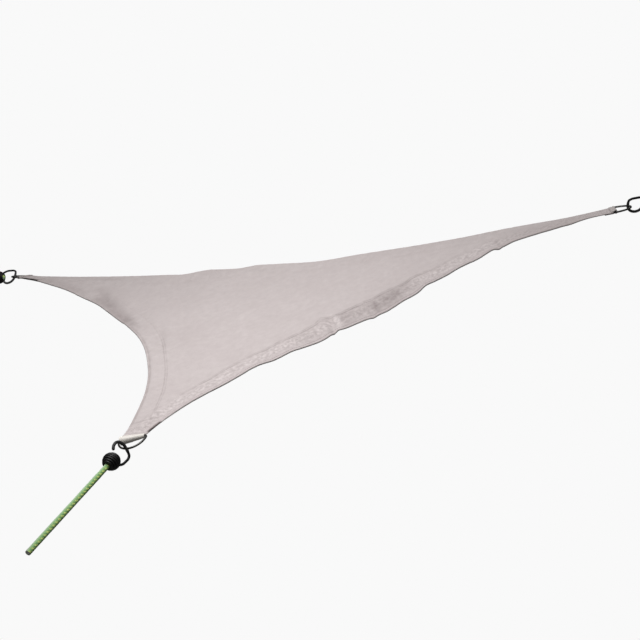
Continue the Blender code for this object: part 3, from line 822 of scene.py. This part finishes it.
def satin_material(name, light, deep):
    """Smooth satin webbing with a fine rib and a silky sheen."""
    made, nodes, shader = new_material(name, 0.42, Sheen_Weight=0.2, Sheen_Roughness=0.3)
    uv = nodes.own_map()
    weave = nodes.group(WEAVE, Vector=uv, Pitch=0.0007)
    mottle = nodes.mottle(uv, 0.012)
    # Darker in the gaps between the threads: painted shade.
    colour = nodes.tint(nodes.mix(mottle["Cloud"], light, deep), weave["Gap"], 0.20, (132, 124, 118))
    rough = nodes.spread(mottle["Speck"], 0.0, 1.0, 0.34, 0.52)
    dress(nodes, shader, colour, rough, weave["Height"], 0.00012, 0.7)
    return made


def steel_material():
    """Polished steel wire, coloured dark as a painted reflection of dark surroundings, with fine drawn
    lines and darker handled patches.
    """
    made, nodes, shader = new_material("ring steel", 0.28, 1.0)
    stretched = nodes.add("ShaderNodeMapping", {"Vector": nodes.own_map(), "Scale": (34.0, 60.0, 1.0)})
    drawn = nodes.noise(stretched.outputs[0], 1.0, 3.0, 0.6)
    # The dark steel colour is a painted reflection of dark surroundings.
    colour = nodes.mix(nodes.mottle(nodes.place(), 0.018)["Cloud"], (62, 61, 60), (98, 97, 95))
    dress(nodes, shader, colour, nodes.spread(drawn, 0.25, 0.75, 0.18, 0.40), drawn, 0.00006, 0.4)
    return made


def coated_material(name, light, deep, roughness):
    """Black coating on wire, faintly mottled and scuffed."""
    made, nodes, shader = new_material(name, roughness, Specular_IOR_Level=0.32)
    mottle = nodes.mottle(nodes.place(), 0.009)
    rough = nodes.spread(mottle["Speck"], 0.0, 1.0, roughness - 0.08, roughness + 0.10)
    dress(nodes, shader, nodes.mix(mottle["Cloud"], deep, light), rough, mottle["Speck"], 0.00008, 0.5)
    return made


def elastic_material():
    """Braided green elastic: lime tracers, painted highlight along its upper side, painted shade along
    its underside, worn grey at its cut end.
    """
    made, nodes, shader = new_material("green braid", 0.62, Sheen_Weight=0.2, Sheen_Roughness=0.4)
    uv = nodes.own_map()
    braid = nodes.group(BRAID, Vector=uv)
    mottle = nodes.mottle(nodes.place(), 0.012)
    round_share, turns, _ = nodes.split(uv)
    # Painted highlight along the cord's upper side and painted shade along its underside, by the share
    # round the cord.
    lit_side = nodes.line(round_share, 0.20, 0.20)
    shaded_side = nodes.line(round_share, 0.71, 0.24)
    sheath = nodes.mix(mottle["Cloud"], (104, 158, 80), (130, 178, 102))
    colour = nodes.tint(sheath, lit_side, 0.62, (208, 224, 202))
    colour = nodes.mix(braid["Tracer"], colour, (206, 224, 122))
    colour = nodes.tint(colour, braid["Yarn"], 0.14, (206, 226, 186))
    # Darker in the gaps between the strands: painted shade.
    colour = nodes.tint(colour, braid["Gap"], 0.5, (48, 66, 30))
    colour = nodes.tint(colour, shaded_side, 0.80, (46, 56, 26))
    # Grey wear at the cut end, laid on only where the painted highlight is.
    near_end = nodes.spread(turns, 6.9, 7.65, 0.0, 0.75, smooth=True)
    colour = nodes.tint(colour, near_end, lit_side, (158, 158, 148))
    relief = nodes.math("ADD", braid["Height"], nodes.math("MULTIPLY", braid["Yarn"], 0.25))
    dress(nodes, shader, colour, nodes.spread(mottle["Speck"], 0.0, 1.0, 0.55, 0.75), relief, 0.0002, 0.5)
    return made


def rubber_material():
    """The cord's cut core of rubber strands."""
    made, nodes, shader = new_material("rubber core", 0.6)
    mottle = nodes.mottle(nodes.place(), 0.003)
    colour = nodes.mix(mottle["Cloud"], (196, 196, 190), (232, 232, 228))
    dress(nodes, shader, colour, None, mottle["Speck"], 0.0001, 0.5)
    return made


# ---------------------------------------------------------------- making pieces

def finished(name, mesh, materials, replaced=()):
    """The object for a mesh: its finish, and the plain solid it stands for."""
    made = bpy.data.objects.new(name, mesh)
    for finish in materials:
        mesh.materials.append(finish)
    bpy.context.scene.collection.objects.link(made)
    mesh.shade_smooth()
    if replaced:
        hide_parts(*replaced)
    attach(made, "root")
    return made


def outward(shape):
    """Weld the seams and turn all faces outward."""
    bmesh.ops.remove_doubles(shape, verts=shape.verts, dist=WELD)
    bmesh.ops.recalc_face_normals(shape, faces=shape.faces)
    if shape.calc_volume(signed=True) < 0.0:
        bmesh.ops.reverse_faces(shape, faces=shape.faces)


def map_layer(shape):
    layers = shape.loops.layers.uv
    return layers.get("UVMap") or layers.new("UVMap")


def grid_onto(shape, places, map_scale):
    """Lay a grid on an array of world points, with a map that measures the grid's own two ways."""
    rows, columns = places.shape[0] - 1, places.shape[1] - 1
    layer = map_layer(shape)
    made = bmesh.ops.create_grid(shape, x_segments=rows, y_segments=columns, size=0.5)
    for vert in made["verts"]:
        r, c = round((vert.co.x + 0.5) * rows), round((vert.co.y + 0.5) * columns)
        for loop in vert.link_loops:
            loop[layer].uv = (c / columns * map_scale[0], r / rows * map_scale[1])
        vert.co = places[r, c]
    return made["verts"]


def sweep(shape, path, radius, steady, sides, relief=None, map_scale=(1.0, 1.0), ways=None):
    """A round wire on a world path. steady is a direction that is never along the path."""
    path = np.asarray(path, dtype=float)
    if ways is None:
        ways = units(np.gradient(path, axis=0))
    side = units(np.cross(ways, steady))
    up = np.cross(side, ways)
    radius = np.broadcast_to(np.asarray(radius, dtype=float), (len(path),))[:, None]
    turn = np.linspace(0.0, 2.0 * math.pi, sides + 1)[None, :]
    if relief is not None:
        radius = radius + relief
    around = side[:, None, :] * np.cos(turn)[..., None] + up[:, None, :] * np.sin(turn)[..., None]
    return grid_onto(shape, path[:, None, :] + radius[..., None] * around, map_scale)


def joined_copies(name, template, frames, places):
    """One mesh of many copies of a small template, each turned by its frame and set at its place."""
    base = np.array([v.co for v in template.verts])
    faces = [tuple(v.index for v in f.verts) for f in template.faces]
    verts = np.einsum("vk,nkj->nvj", base, frames) + places[:, None, :]
    count = len(base)
    mesh = bpy.data.meshes.new(name)
    mesh.from_pydata(verts.reshape(-1, 3).tolist(), [],
                     [tuple(i + n * count for i in face)
                      for n in range(len(places)) for face in faces])
    return mesh


def set_float(mesh, name, values):
    made = mesh.attributes.new(name, "FLOAT", "POINT")
    made.data.foreach_set("value", np.asarray(values, dtype=np.float32))


def vertex_places(mesh):
    places = np.empty(len(mesh.vertices) * 3)
    mesh.vertices.foreach_get("co", places)
    return places.reshape(-1, 3)


def to_mesh(shape, name):
    mesh = bpy.data.meshes.new(name)
    shape.to_mesh(mesh)
    shape.free()
    return mesh


def braid_relief(turns, sides):
    """How far the sheath's strands stand out, in millimetres, over a tube's grid."""
    u = np.linspace(0.0, 1.0, sides + 1)[None, :]
    v = turns[:, None]
    right, left = STRANDS * (u + v), STRANDS * (u - v)
    over_right = np.sin(math.pi * (right % 1.0))
    over_left = np.sin(math.pi * (left % 1.0))
    odd = (np.floor(right) + np.floor(left)) % 2.0 > 0.5
    across = np.where(odd, over_left, over_right)
    along = np.where(odd, over_right, over_left)
    return BRAID_RELIEF * (np.clip(across, 0.0, 1.0) ** 0.6 * (0.4 + 0.6 * along) - 0.55)


def braided_tube(corner, alongs, radius, relief, turns):
    """A closed braided tube on a corner's tie line, and its path."""
    path = world([corner.tie_point(a) for a in alongs])
    ways = np.broadcast_to(unit(world_way(corner.pull)), path.shape)
    shape = bmesh.new()
    sweep(shape, path, radius * MM, world_way(corner.hook_side), relief.shape[1] - 1, relief * MM,
          (1.0, turns), ways)
    outward(shape)
    return shape, path


def make_cord(name, corner, start, end, cut_end, finishes):
    """Braided elastic cord on the tie's line. A cut end shows the core inside the sheath."""
    alongs = np.linspace(start, end, int((end - start) / CORD_STEP) + 1)
    swell = 0.05 * np.sin(alongs / 17.0) + 0.04 * np.sin(alongs / 6.3 + 1.0)
    relief = braid_relief((alongs - start) / LAY, CORD_SIDES) + swell[:, None]
    calm_ends = smoothstep(0.0, 2.0, alongs - start) * smoothstep(0.0, 2.5, end - alongs)
    relief = relief * calm_ends[:, None] - (0.25 * (1.0 - calm_ends))[:, None]
    closing = CUT_FACE if cut_end else ((0.0, 0.0),)
    radius = np.concatenate([[0.0], np.full(len(alongs), 0.5 * CORD), [r for _, r in closing]])
    alongs = np.concatenate([[start], alongs, [end - back for back, _ in closing]])
    relief = np.pad(relief, ((1, len(closing)), (0, 0)))
    shape, path = braided_tube(corner, alongs, radius, relief, (end - start) / LAY)
    way = unit(world_way(corner.pull))
    for face in shape.faces:
        offset = np.array(face.calc_center_median()) - path[0]
        along = offset @ way / MM
        inside = np.linalg.norm(offset - along * MM * way) < CORE_RADIUS * MM
        if cut_end and inside and along > end - start - CUT_DEPTH:
            face.material_index = 1
    made = finished(name, to_mesh(shape, name), finishes)
    return made, [tuple(world(corner.tie_point(a))) for a in np.linspace(start, end, 25)]


def make_core_strands(corner, end, finish):
    """The rubber strands' ends, standing a little out of the cut cord."""
    template = bmesh.new()
    bmesh.ops.create_uvsphere(template, u_segments=8, v_segments=5, radius=CORE_STRAND * MM)
    beside = np.cross(corner.pull, corner.hook_side)
    places = []
    for ring, count in enumerate((1, 6, 12, 18)):
        for k in range(count):
            turn = 2.0 * math.pi * k / count + 0.3 * ring
            off = CORE_RING * ring * (math.cos(turn) * corner.hook_side + math.sin(turn) * beside)
            places.append(world(corner.tie_point(end - 0.75 + 0.25 * math.sin(5.0 * turn + ring)) + off))
    frames = np.broadcast_to(np.eye(3), (len(places), 3, 3))
    mesh = joined_copies("core_strands", template, frames, np.array(places))
    template.free()
    return finished("core_strands", mesh, [finish])


def make_cloth(finish):
    """The cloth: cut flat, hung in its shape, then thickened with its double hem."""
    shape = bmesh.new()
    for name in CORNERS:
        rows = arm_rows(name)
        flat = np.concatenate([rows * MM, np.zeros((*rows.shape[:2], 1))], axis=2)
        grid_onto(shape, flat, (1.0, 1.0))
    bmesh.ops.remove_doubles(shape, verts=shape.verts, dist=WELD)
    bmesh.ops.recalc_face_normals(shape, faces=shape.faces)
    if sum(face.normal.z for face in shape.faces) < 0.0:
        bmesh.ops.reverse_faces(shape, faces=shape.faces)
    layer = map_layer(shape)
    for vert in shape.verts:
        for loop in vert.link_loops:
            loop[layer].uv = vert.co.xy
    mesh = to_mesh(shape, "cloth")
    flat = vertex_places(mesh)[:, :2] / MM
    middle, _ = surface(flat)
    mesh.vertices.foreach_set("co", world(middle).ravel())
    for name, edge in EDGE.items():
        set_float(mesh, name + "_depth", edge.hem_depth(flat))
        set_float(mesh, name + "_seam", edge.seam_shade(flat))
    # The strokes' painted shade and highlight, carried as the attribute tone.
    set_float(mesh, "tone", tone(flat))
    made = finished("cloth", mesh, [finish], ["sail"])
    thick = thickness(flat)
    most = float(thick.max())
    weights = made.vertex_groups.new(name="thickness")
    for number, value in enumerate(thick / most):
        weights.add([number], float(value), "REPLACE")
    solidify = made.modifiers.new("cloth thickness", "SOLIDIFY")
    solidify.thickness = most * MM
    solidify.offset = 0.0
    solidify.vertex_group = weights.name
    solidify.use_rim = True
    solidify.use_quality_normals = True
    return made


def stitch_template(length, width):
    """One stitch: a slim pillow along its first axis, its ends dipping into the cloth."""
    shape = bmesh.new()
    bmesh.ops.create_uvsphere(shape, u_segments=5, v_segments=4, radius=0.5)
    for vert in shape.verts:
        x, y, z = vert.co.z, vert.co.x, vert.co.y
        vert.co = (x * length * MM, y * width * MM, (z * width - 1.1 * width * x * x) * MM)
    bmesh.ops.recalc_face_normals(shape, faces=shape.faces)
    shape.verts.index_update()
    return shape


def stitch_line(points, step):
    """Places a step apart along a flat line, and the line's way at each."""
    gaps = np.linalg.norm(np.diff(points, axis=0), axis=1)
    run = np.concatenate([[0.0], np.cumsum(gaps)])
    marks = np.arange(0.5 * step, run[-1], step)
    place = np.column_stack([np.interp(marks, run, points[:, k]) for k in (0, 1)])
    ahead = np.column_stack([np.interp(marks + 0.5, run, points[:, k]) for k in (0, 1)])
    behind = np.column_stack([np.interp(marks - 0.5, run, points[:, k]) for k in (0, 1)])
    return place, units(ahead - behind)


def seam_lines():
    """The flat stitch lines, each with its edge: two along each hem, two across each corner."""
    lines = []
    shares = np.linspace(0.0, 1.0, 1500)
    for edge in EDGE.values():
        for mark in (EDGE_STITCH, HEM_STITCH):
            lines.append((edge.inside(shares, mark * edge.stretch(shares)), edge))
    for corner in CORNER.values():
        for back in CORNER_STITCHES:
            middle = corner.place[:2] - back * corner.ring_way[:2]
            side = np.linspace(-60.0, 60.0, 80)[:, None] * corner.flat_bar[None, :2]
            lines.append((middle + side, None))
    return lines


def sewn(name, size, ways, places, shades, finish):
    """One mesh of many stitches. The ways are along each stitch, across it and off the cloth."""
    template = stitch_template(*size)
    mesh = joined_copies(name, template, np.stack([world_way(w) for w in ways], axis=1), world(places))
    set_float(mesh, "shade", np.repeat(shades, len(template.verts)))
    template.free()
    return finished(name, mesh, [finish])


def make_stitches(name, side, finish):
    """Every stitch on one face of the cloth, as one mesh. side is +1 above, -1 below."""
    places, ways, shades = [], [], []
    for line, edge in seam_lines():
        place, way = stitch_line(line, STITCH_STEP)
        keep = (edge_depth(place) > STITCH_MARGIN) & (ring_distance(place) > STITCH_END)
        places.append(place[keep])
        ways.append(way[keep])
        shades.append(edge.seam_shade(place[keep]) if edge else np.full(keep.sum(), CORNER_SHADE))
    flat, way = np.concatenate(places), np.concatenate(ways)
    middle, normal = surface(flat)
    ahead, _ = surface(flat + 0.5 * way)
    along, up = units(ahead - middle), side * normal
    top = middle + side * (0.5 * thickness(flat)[:, None] + 0.08) * normal
    return sewn(name, STITCH_SIZE, (along, np.cross(up, along), up), top, np.concatenate(shades),
                finish)


def loop_places(corner, fuller):
    """The webbing's middle surface: rows across the bar's length, columns round its section."""
    arc = np.radians(np.linspace(WRAP, -WRAP, 30))
    radius = 0.5 * RING_WIRE + LOOP_GAP + 0.5 * WEBBING
    flat_up = 0.5 * HEM + LOOP_GAP + 0.5 * WEBBING

    def fuller_by(a):
        return math.cos(0.5 * (a - 0.1)) ** 2

    def rise(full, a, out):
        """How far a tail still stands off behind the bar, where the satin lies full round it."""
        return 0.75 * (full - LEAST_FULL) * fuller_by(a) * math.exp(-((out - WRAP_END) / 2.4) ** 2)

    rows = []
    for share in np.linspace(0.0, 1.0, 61):
        tail = corner.tail(share)
        fold = 0.12 * math.sin(19.0 * share) + 0.08 * math.sin(43.0 * share + 1.0)
        full = fuller[0] + share * (fuller[1] - fuller[0])
        section = [(-out, flat_up + rise(full, arc[0], out) + fold * 0.4 * (1.0 - out / tail))
                   for out in np.linspace(tail, WRAP_END, 14)]
        for a in arc:
            swell = full * fuller_by(a) + fold
            section.append(((radius + swell) * math.cos(a), (radius + swell) * math.sin(a)))
        section += [(-out, -flat_up - rise(full, arc[-1], out))
                    for out in np.linspace(WRAP_END, LOWER_TAIL, 18)]
        rows.append([loop_point(corner, out, up, (share - 0.5) * LOOP_WIDTH) for out, up in section])
    return np.array(rows)


def loop_point(corner, out, up, side):
    """Beside the bar the webbing follows the bar, further back it follows the cloth."""
    blend = smoothstep(-2.4, -6.0, out)
    by_bar = corner.place + side * corner.bar + out * corner.ring_way
    level = side * (corner.bar @ corner.flat_bar)
    flat = (corner.place + level * corner.flat_bar + out * corner.ring_way)[:2]
    by_cloth = np.array([*flat, height(flat[None, :])[0]])
    return by_bar + blend * (by_cloth - by_bar) + up * corner.normal


def make_loop_stitches(corner, finish):
    """The rows of stitching that hold the webbing to the cloth, along each of its two ends."""
    lift = 0.5 * HEM + LOOP_GAP + WEBBING + 0.1
    points, ups = [], []
    for side in np.arange(-0.5 * LOOP_WIDTH + 1.6, 0.5 * LOOP_WIDTH - 1.0, 2.5):
        tail = corner.tail(side / LOOP_WIDTH + 0.5)
        for out, face in ((1.9 - tail, 1.0), (2.2 - LOWER_TAIL, -1.0), (6.0 - LOWER_TAIL, -1.0)):
            points.append([loop_point(corner, out, face * lift, side + reach)
                           for reach in (-0.5, 0.0, 0.5)])
            ups.append(face * corner.normal)
    points, ups = np.array(points), np.array(ups)
    along = units(points[:, 2] - points[:, 0])
    across = units(np.cross(ups, along))
    ways = (along, across, np.cross(along, across))
    return sewn("loop_stitches_" + corner.name, LOOP_STITCH_SIZE, ways, points[:, 1],
                np.full(len(points), CORNER_SHADE), finish)


def make_loop(corner, finish):
    """Satin webbing folded round the ring's bar and stitched to both faces of the cloth."""
    places = loop_places(corner, LOOP_FULLNESS[corner.name])
    shape = bmesh.new()
    length = (sum(corner.tails) / 2.0 + LOWER_TAIL + 14.0) * MM
    grid_onto(shape, world(places), (length, LOOP_WIDTH * MM))
    bmesh.ops.recalc_face_normals(shape, faces=shape.faces)
    name = "satin_loop_" + corner.name
    made = finished(name, to_mesh(shape, name), [finish], ["loop_" + corner.name])
    solidify = made.modifiers.new("webbing thickness", "SOLIDIFY")
    solidify.thickness = WEBBING * MM
    solidify.offset = 0.0
    bevel = made.modifiers.new("soft selvedge", "BEVEL")
    bevel.width = 0.3 * MM
    bevel.segments = 2
    bevel.limit_method = "ANGLE"
    bevel.angle_limit = math.radians(60.0)
    return made


def make_ring(corner, finish):
    """A D-ring bent from polished wire: a straight bar with rounded ends, and a half-oval bow."""
    turns = np.linspace(0.0, math.pi, 70)
    bow = [(math.cos(a), math.sin(a)) for a in turns]
    bar = [(u, 0.0) for u in np.linspace(-0.82, 0.82, 22)]
    bend = [(0.90, 0.003), (0.957, 0.022), (0.986, 0.052)]
    outline = bar + bend + bow[2:-2] + [(-u, v) for u, v in reversed(bend)]
    outline = np.array(outline + outline[:1])
    path = np.array([corner.place + u * RING_HALF_WIDTH * corner.bar + v * RING_DEPTH * corner.bow_way
                     for u, v in outline])
    ways = units(np.roll(path[:-1], -1, axis=0) - np.roll(path[:-1], 1, axis=0))
    ways = np.concatenate([ways, ways[:1]])
    shape = bmesh.new()
    sweep(shape, world(path), 0.5 * RING_WIRE * MM, world_way(np.cross(corner.bar, corner.bow_way)), 20,
          map_scale=(1.0, 4.0), ways=world_way(ways))
    outward(shape)
    name = "d_ring_" + corner.name
    return finished(name, to_mesh(shape, name), [finish], ["ring_" + corner.name])


def path_through(points, count):
    points = np.asarray(points, dtype=float)
    steps = np.linalg.norm(np.diff(points, axis=0), axis=1)
    table = np.column_stack([np.concatenate([[0.0], np.cumsum(steps)]), points])
    return smooth_table(table, np.linspace(0.0, table[-1, 0], count))


def make_hook(name, corner, finishes, replaced, holds_cord=True, from_far_end=None):
    """A hook bent from coated wire, whose other end is wound into a ball round the cord."""
    turned = from_far_end is not None

    def place(along, side, beside=0.0):
        if turned:
            along, side = from_far_end - along, -side
        return corner.tie_point(along, side) + beside * np.cross(corner.pull, corner.hook_side)

    shape = bmesh.new()
    axis = world_way(corner.pull)
    across = world_way(np.cross(corner.pull, corner.hook_side))
    bend = path_through(HOOK_PATH, HOOK_STEPS)
    way = unit(bend[-1] - bend[-2])
    dome = np.radians(np.linspace(15.0, 90.0, 6))
    thick = 0.5 * HOOK_TIP
    tip = np.concatenate([bend[DIP_START:], [bend[-1] + thick * math.sin(a) * way for a in dome]])
    coat = np.concatenate([np.full(HOOK_STEPS - DIP_START, thick), thick * np.cos(dome)])
    coat[:3] = (0.0, 0.43 * HOOK_TIP, 0.485 * HOOK_TIP)
    bare = bend[:DIP_START + DIP_COVER]
    wire = np.full(len(bare), 0.5 * HOOK_WIRE + HOOK_COAT)
    wire[[0, -1]] = 0.0
    sweep(shape, world([place(a, s) for a, s in bare]), wire * MM, across, 18)
    for vert in sweep(shape, world([place(a, s) for a, s in tip]), coat * MM, across, 18):
        for face in vert.link_faces:
            face.material_index = 1

    turns = np.linspace(0.0, float(BALL_TURNS), BALL_TURNS * 40 + 1)
    table = np.column_stack([np.arange(BALL_TURNS) + 0.5, BALL_RADII])
    wound = smooth_table(table, np.clip(turns, 0.5, BALL_TURNS - 0.5))[:, 0]
    alongs = BALL_START + 0.5 * BALL_PITCH + (turns / BALL_TURNS) * (BALL_TURNS - 1.0) * BALL_PITCH
    coil = [place(a, r * math.cos(2.0 * math.pi * t), r * math.sin(2.0 * math.pi * t))
            for a, r, t in zip(alongs, wound, turns)]
    wire = np.full(len(coil), 0.5 * HOOK_WIRE)
    wire[:4] *= (0.0, 0.6, 0.85, 0.97)
    wire[-4:] *= (0.97, 0.85, 0.6, 0.0)
    sweep(shape, world(coil), wire * MM, axis, 16)

    # The ball's filling, under the coil, with the socket that holds the cord.
    mouth, socket = BALL_END - 1.2, BALL_END - SOCKET_DEPTH + 0.1
    inner = 0.5 * CORD + SEAT_GAP + 0.15 if holds_cord else 0.0
    profile = [(BALL_START + 1.4, 0.0)]
    profile += [(BALL_START + (turn + 0.5) * BALL_PITCH, r - 0.4) for turn, r in enumerate(BALL_RADII)]
    profile += [(mouth, BALL_RADII[-1] - 1.0), (mouth, inner)]
    if holds_cord:
        profile += [(socket, inner), (socket, 0.0)]
    chain = [shape.verts.new(world(place(a, r))) for a, r in profile]
    edges = [shape.edges.new(pair) for pair in zip(chain, chain[1:])]
    bmesh.ops.spin(shape, geom=chain + edges, cent=world(place(0.0, 0.0)), axis=axis,
                   angle=2.0 * math.pi, steps=48, use_merge=True)
    bmesh.ops.remove_doubles(shape, verts=shape.verts, dist=WELD)
    bmesh.ops.recalc_face_normals(shape, faces=shape.faces)
    return finished(name, to_mesh(shape, name), finishes, replaced)


def make_cord_tip(name, corner, finish, from_far_end=None):
    """The cord's own end, swollen in the mouth of the ball that holds it."""
    turn = np.radians(np.linspace(0.0, 90.0, 14))
    alongs = np.concatenate([[CORD_TIP_SEAT], CORD_TIP_SEAT - CORD_TIP_LENGTH * np.sin(turn)])
    radius = np.concatenate([[0.0], CORD_TIP * np.cos(turn)])
    relief = braid_relief(alongs / LAY, CORD_TIP_SIDES) * np.minimum(1.0, radius / 3.0)[:, None]
    if from_far_end is not None:
        alongs = from_far_end - alongs
    shape, _ = braided_tube(corner, alongs, radius, relief, 5.0 / LAY)
    return finished(name, to_mesh(shape, name), [finish])


# ---------------------------------------------------------------- camera, floor and light

CAMERA_OFFSET = (1.1238, -1.7202, 0.6440)   # metres from the front corner
CAMERA_TILT = 78.0
CAMERA_HEADING = 23.91
CAMERA_LENS = 67.5
FLOOR_HEIGHT = -1.35        # metres
FLOOR_TONE = 0.20
PAPER = 0.9474              # the pale floor and backdrop, as the picture shows them
DOME = 0.80
LAMP = 8.0                  # watts
LAMP_SIZE = 0.7             # metres
LAMP_HEIGHT = 950.0
LIT_SPOT = (240.0, 120.0)   # the flat point that faces the lamp
WHITE = (1.0, 1.0, 1.0, 1.0)


def make_camera():
    """The camera, aimed level with the picture's own view of the sail."""
    data = bpy.data.cameras.new("camera")
    data.lens = CAMERA_LENS
    data.sensor_width = 36.0
    made = bpy.data.objects.new("camera", data)
    made.location = world(CORNER["front"].place) + np.array(CAMERA_OFFSET)
    made.rotation_euler = (math.radians(CAMERA_TILT), 0.0, math.radians(CAMERA_HEADING))
    bpy.context.scene.collection.objects.link(made)
    bpy.context.scene.camera = made


def plain_to_camera(nodes, kind, lit, end):
    """Plain paper white where the camera looks straight at it, its own light for everything else."""
    plain = nodes.add(kind, {"Color": WHITE, "Strength": PAPER})
    seen = nodes.add("ShaderNodeLightPath").outputs["Is Camera Ray"]
    both = nodes.add("ShaderNodeMixShader", {0: seen, 1: lit.outputs[0], 2: plain.outputs[0]})
    nodes.feed(nodes.tree.nodes[end].inputs["Surface"], both.outputs[0])


def make_floor():
    """A wide pale floor, plain and even."""
    shape = bmesh.new()
    bmesh.ops.create_grid(shape, x_segments=1, y_segments=1, size=30.0)
    bmesh.ops.translate(shape, verts=shape.verts, vec=(0.0, 0.0, FLOOR_HEIGHT))
    mesh = to_mesh(shape, "floor")
    made = bpy.data.materials.new("pale floor")
    made.use_nodes = True
    nodes = Nodes(made.node_tree)
    made.node_tree.nodes.remove(made.node_tree.nodes["Principled BSDF"])
    lit = nodes.add("ShaderNodeBsdfDiffuse", {"Color": (FLOOR_TONE, FLOOR_TONE, FLOOR_TONE, 1.0)})
    plain_to_camera(nodes, "ShaderNodeEmission", lit, "Material Output")
    mesh.materials.append(made)
    floor = bpy.data.objects.new("floor", mesh)
    bpy.context.scene.collection.objects.link(floor)


def light_stage():
    """Soft studio light: a dome that is palest overhead, and a round lamp over the front of the sail."""
    scene = bpy.context.scene
    scene.view_settings.view_transform = "Standard"
    sky = bpy.data.worlds.new("studio")
    scene.world = sky
    sky.use_nodes = True
    nodes = Nodes(sky.node_tree)
    up = nodes.split(nodes.add("ShaderNodeTexCoord").outputs["Generated"])[2]
    strength = nodes.spread(up, 0.25, 0.9, 0.03, DOME, smooth=True)
    dome = nodes.add("ShaderNodeBackground", {"Strength": strength, "Color": WHITE})
    plain_to_camera(nodes, "ShaderNodeBackground", dome, "World Output")

    data = bpy.data.lights.new("lamp", "AREA")
    data.shape = "DISK"
    data.size = LAMP_SIZE
    data.energy = LAMP
    lamp = bpy.data.objects.new("lamp", data)
    lamp.location = world((*LIT_SPOT, LAMP_HEIGHT))
    lamp.rotation_euler = (-math.asin(AXES[1, 2]), math.atan2(AXES[0, 2], AXES[2, 2]), 0.0)
    lamp.visible_camera = False
    scene.collection.objects.link(lamp)


# ---------------------------------------------------------------- the scene

make_camera()

braid = [elastic_material(), rubber_material()]
front, left = CORNER["front"], CORNER["left"]
cord_front, front_path = make_cord("elastic_front", front, CORD_START, FRONT_TIE_LENGTH, True, braid)
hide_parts("cord_front")
cord_left, left_path = make_cord("elastic_left", left, CORD_START, LEFT_TIE_END - CORD_START, False,
                                 braid)
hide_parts("cord_left")
strands = make_core_strands(front, FRONT_TIE_LENGTH, braid[1])
tips = {"front": make_cord_tip("cord_tip_front", front, braid[0]),
        "left": make_cord_tip("cord_tip_left", left, braid[0]),
        "left_end": make_cord_tip("cord_tip_left_end", left, braid[0], LEFT_TIE_END)}

coated = [coated_material("black coated wire", (22, 22, 23), (11, 11, 12), 0.42),
          coated_material("dipped wire end", (64, 64, 64), (42, 42, 43), 0.50)]
hooks = {name: make_hook("spring_hook_" + name, corner, coated, ["hook_" + name], name != "right")
         for name, corner in CORNER.items()}
hook_left_end = make_hook("spring_hook_left_end", left, coated, ["hook_left_end"],
                          from_far_end=LEFT_TIE_END)

cloth = make_cloth(cloth_material())
thread = thread_material()
stitches = [make_stitches("stitches_above", 1.0, thread), make_stitches("stitches_below", -1.0, thread)]
# The front loop's satin is a lighter copy of the taupe satin: painted light on the lit front corner.
painted_lit = satin_material("ivory satin", (240, 235, 228), (222, 216, 208))
taupe = satin_material("taupe satin", (206, 198, 195), (188, 180, 177))
loops = [make_loop(corner, painted_lit if corner is front else taupe) for corner in CORNER.values()]
loop_stitches = [make_loop_stitches(corner, thread) for corner in CORNER.values()]
steel = steel_material()
rings = [make_ring(corner, steel) for corner in CORNER.values()]

make_floor()
light_stage()
